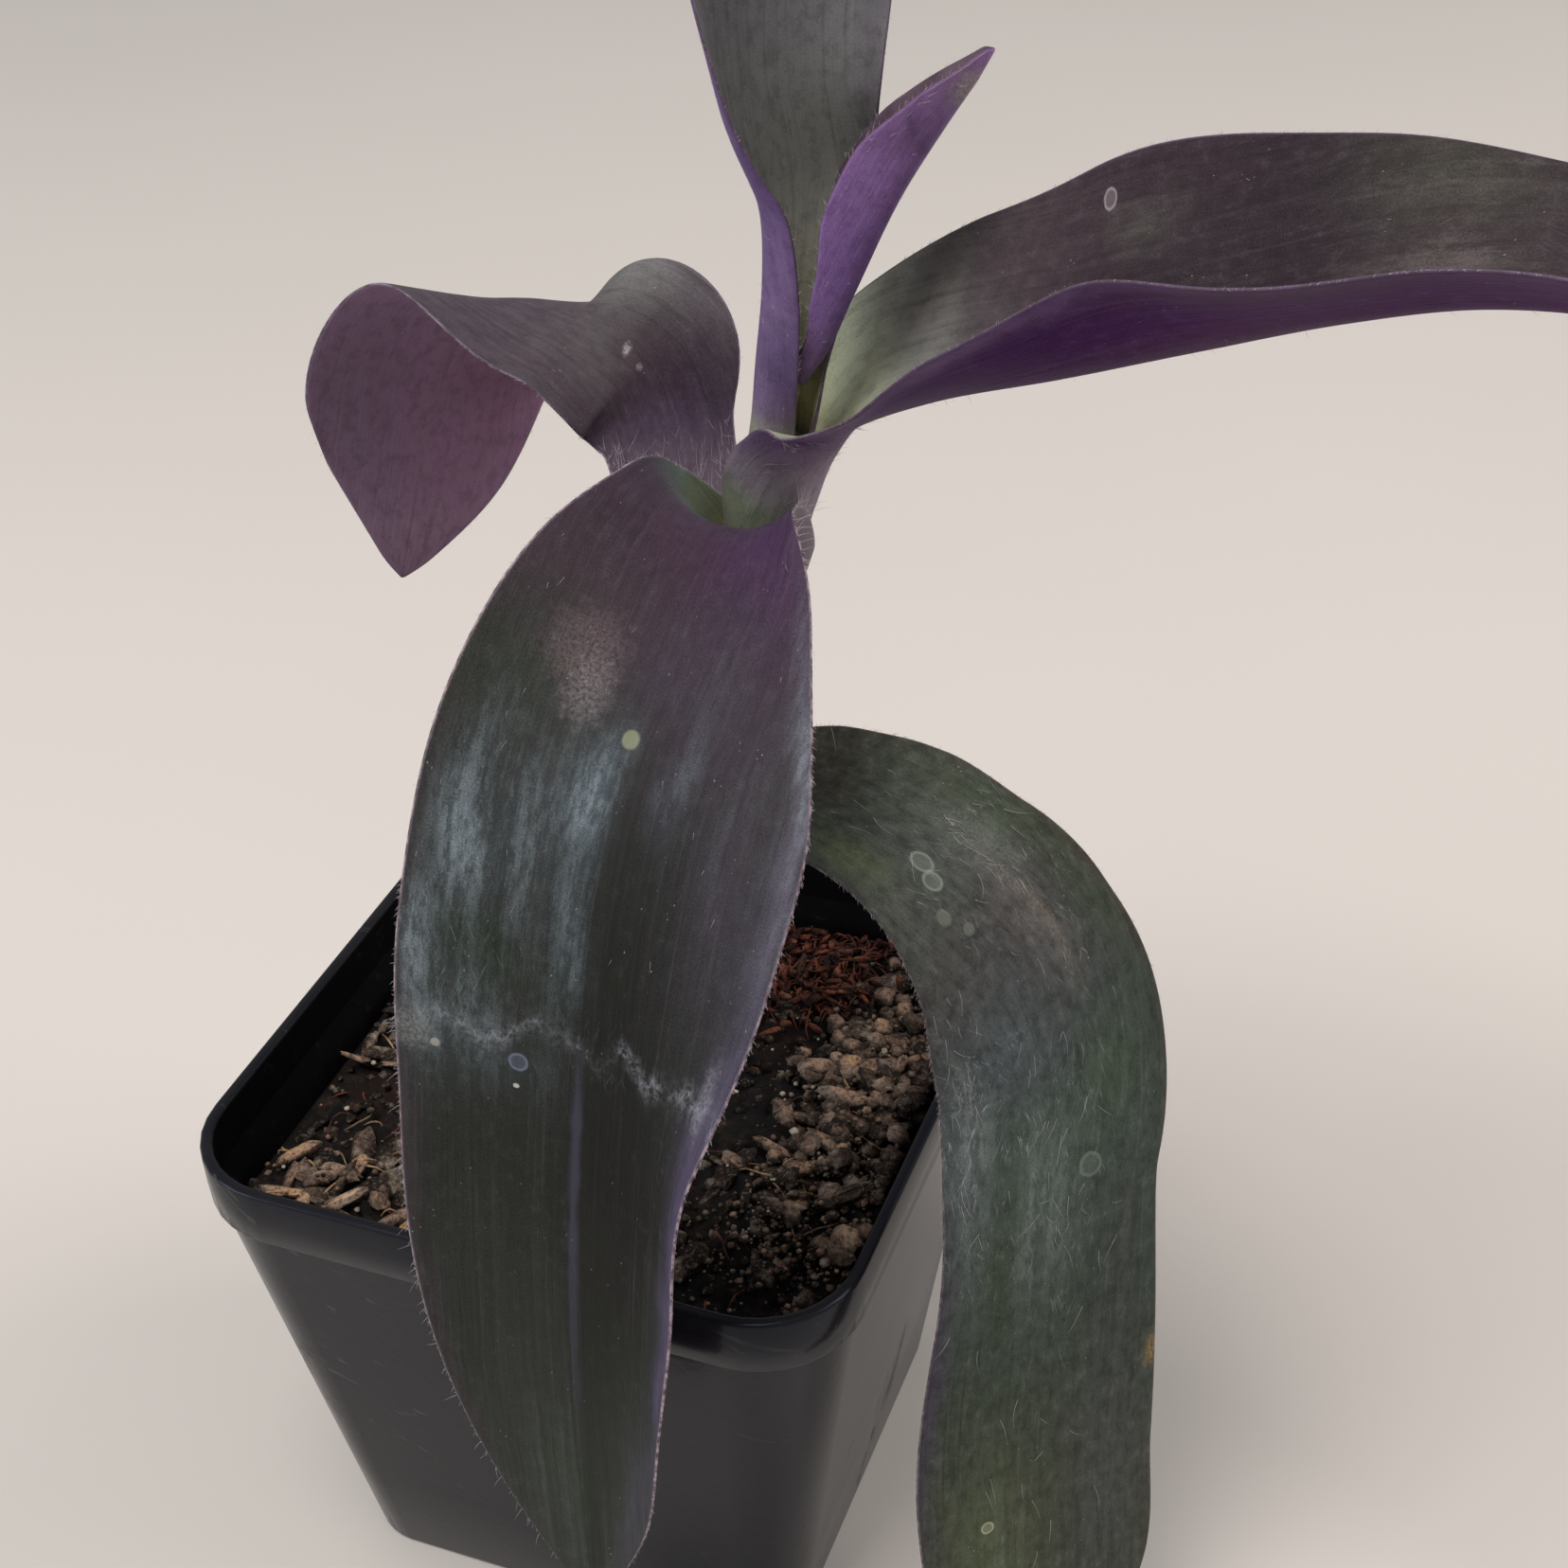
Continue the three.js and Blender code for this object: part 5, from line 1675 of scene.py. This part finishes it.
def lying_hairs(leaf, draw, count, centre, about, lengths):
    """Curved hairs that lie on the upper skin like scratches, scattered round a place."""
    hairs = []
    while len(hairs) < count:
        place, across = draw.gauss(centre[0], about[0]), draw.gauss(centre[1], about[1])
        if not 0.2 < place < 0.99 or abs(across) > 0.97:
            continue
        point, normal, along = on_leaf(leaf, place, across)
        turn = draw.gauss(0, 0.45)
        beside = normal.cross(along)
        way = along * math.cos(turn) + beside * math.sin(turn) + normal * 0.05
        bend = (beside * math.cos(turn) - along * math.sin(turn)) * draw.gauss(0, 0.6)
        hairs.append(hair(point + normal * LYING_LIFT, way, bend, draw.uniform(*lengths) * MM, sunk=0))
    return hairs


def margin_hairs(leaf, draw, count, places, lengths, sides=(-1, 1)):
    """The fringe of a blade's margins."""
    hairs = []
    for _ in range(count):
        side = draw.choice(sides)
        point, normal, along = on_leaf(leaf, draw.uniform(*places), side)
        out = normal.cross(along) * -side
        way = (out + along * draw.uniform(0.2, 1.2) + normal * draw.gauss(0, 0.5)).normalized()
        bend = along * draw.uniform(0.1, 0.8) + scatter(draw, 0.25)
        hairs.append(hair(point, way, bend, draw.uniform(*lengths) * MM))
    return hairs


def in_box(thread):
    """Whether a hair stays within the frame's own reach."""
    low, high = frame_box
    return all(low[i] <= at[i] <= high[i] for at, _ in thread for i in range(3))


def grow(name, hairs):
    """Makes one piece of a leaf's hairs."""
    kept = [thread for thread in hairs if in_box(thread)]
    make_threads(name + "_hairs", kept, HAIR_THICK, white_hair, name)


def hair_finish():
    made, tree = new_finish("leaf hair", 0.45)
    return dressed(made, layer(tree, grain(tree, place_in(tree), 400, 2), "#988f95", "#c6c0c3"))


white_hair = hair_finish()
print(f"a hair is {HAIR_THICK * 1e6:.0f} thousandths of a millimetre thick at its root")

# %% [markdown]
# ## Hairs of the old leaves
#
# The front leaf has its longest hairs at the top of the left margin and low on the right one.
# The lower right leaf carries tufts of lying hairs. The back left leaf is woolly where it rises
# from its sheath, and the right leaf is downy on the outside of its own.

# %% Hairs of the old leaves
draw = random.Random(77)
front_hairs = (
    standing_hairs(FRONT_LEAF, draw, 60, (0.2, 0.6), (-0.95, 0.95), (0.4, 1.2), 0.15)
    + margin_hairs(FRONT_LEAF, draw, 700, (0.16, 0.99), (0.1, 0.6))
    + margin_hairs(FRONT_LEAF, draw, 40, (0.16, 0.34), (1.5, 3.2), sides=(-1,))
    + margin_hairs(FRONT_LEAF, draw, 40, (0.6, 0.98), (0.8, 1.8), sides=(1,))
)
lower_hairs = margin_hairs(LOWER_RIGHT_LEAF, draw, 700, (0.2, 0.99), (0.15, 0.6))
for centre, about, count in (
    ((0.4, -0.45), (0.03, 0.25), 16), ((0.46, -0.3), (0.04, 0.2), 8), ((0.6, 0.8), (0.07, 0.12), 30),
    ((0.68, 0.0), (0.05, 0.25), 24), ((0.55, 0.4), (0.05, 0.35), 8), ((0.6, 0.0), (0.25, 0.6), 20),
    ((0.84, 0.3), (0.03, 0.3), 8), ((0.33, 0.0), (0.03, 0.3), 6),
):
    lower_hairs += lying_hairs(LOWER_RIGHT_LEAF, draw, count, centre, about, (0.8, 3.0))
back_hairs = (
    standing_hairs(BACK_LEFT_LEAF, draw, 60, (0.3, 0.36), (-1, 1), (2.0, 4.5), 0.22, wild=0.4)
    + standing_hairs(BACK_LEFT_LEAF, draw, 260, (0.28, 0.4), (-1, 1), (0.4, 1.6), 0.25, wild=0.5)
    + margin_hairs(BACK_LEFT_LEAF, draw, 400, (0.16, 0.98), (0.15, 0.6))
)
right_hairs = (
    standing_hairs(RIGHT_LEAF, draw, 260, (0.06, 0.3), (-0.95, 0.95), (0.5, 1.6), 0.35, upper=False)
    + standing_hairs(RIGHT_LEAF, draw, 60, (0.16, 0.8), (-0.25, 0.3), (0.4, 1.4), 0.5, upper=False)
    + standing_hairs(RIGHT_LEAF, draw, 40, (0.2, 0.7), (-0.9, 0.9), (0.4, 1.0), 0.15)
    + margin_hairs(RIGHT_LEAF, draw, 500, (0.14, 0.98), (0.15, 0.5))
)
grow("front_leaf", front_hairs)
grow("lower_right_leaf", lower_hairs)
grow("back_left_leaf", back_hairs)
grow("right_leaf", right_hairs)

# %% [markdown]
# ## Hairs of the young leaves
#
# The two young leaves have short down all over the outside, and a short fringe.

# %% Hairs of the young leaves
top_hairs = (
    standing_hairs(TOP_LEAF, draw, 160, (0.12, 0.95), (-0.95, 0.95), (0.3, 1.0), 0.35, upper=False)
    + margin_hairs(TOP_LEAF, draw, 400, (0.2, 0.98), (0.15, 0.5))
)
young_hairs = (
    standing_hairs(YOUNG_LEAF, draw, 120, (0.1, 0.95), (-0.95, 0.95), (0.3, 1.0), 0.3, upper=False)
    + margin_hairs(YOUNG_LEAF, draw, 160, (0.1, 0.97), (0.2, 0.8))
)
grow("top_leaf", top_hairs)
grow("young_leaf", young_hairs)

# %% [markdown]
# ## Floor and light
#
# A pale floor and three soft lamps show the form without hard shadows: a cool window at the
# left, a warm ceiling lamp above and a warm fill from behind at the right. The world gives the
# rest, so that the dark skin has something pale to reflect.

# %% Floor and light
FLOOR_REACH = 3
LAMP_AIM = Vector((0, 0, 0.08))
WORLD_LIGHT = 0.38


def build_floor():
    bm = bmesh.new()
    bmesh.ops.create_grid(bm, x_segments=1, y_segments=1, size=FLOOR_REACH)
    mesh = bpy.data.meshes.new("floor")
    bm.to_mesh(mesh)
    bm.free()
    made, tree = new_finish("pale floor", 0.75, Specular_IOR_Level=0.2)
    body = layer(tree, grain(tree, place_in(tree), 6, 3), "#c6c0bb", "#ccc6c1")
    mesh.materials.append(dressed(made, body))
    floor = bpy.data.objects.new("floor", mesh)
    bpy.context.scene.collection.objects.link(floor)


def soft_light(name, at, size, watts, colour):
    lamp = bpy.data.lights.new(name, "AREA")
    lamp.size = size
    lamp.energy = watts
    lamp.color = colour
    light = bpy.data.objects.new(name, lamp)
    light.location = at
    light.rotation_euler = (LAMP_AIM - Vector(at)).to_track_quat("-Z", "Y").to_euler()
    bpy.context.scene.collection.objects.link(light)


build_floor()
soft_light("window", (-0.8, -0.65, 0.42), 0.6, 5, (0.9, 0.96, 1.0))
soft_light("ceiling", (-0.12, -0.3, 1.0), 0.5, 8, (1.0, 0.95, 0.9))
soft_light("fill", (0.75, 0.3, 0.7), 0.7, 6, (1.0, 0.95, 0.9))

world = bpy.data.worlds.new("studio")
world.use_nodes = True
world.node_tree.nodes["Background"].inputs["Color"].default_value = shade("#dfe2e6")
world.node_tree.nodes["Background"].inputs["Strength"].default_value = WORLD_LIGHT
bpy.context.scene.world = world
bpy.context.scene.view_settings.view_transform = "Standard"
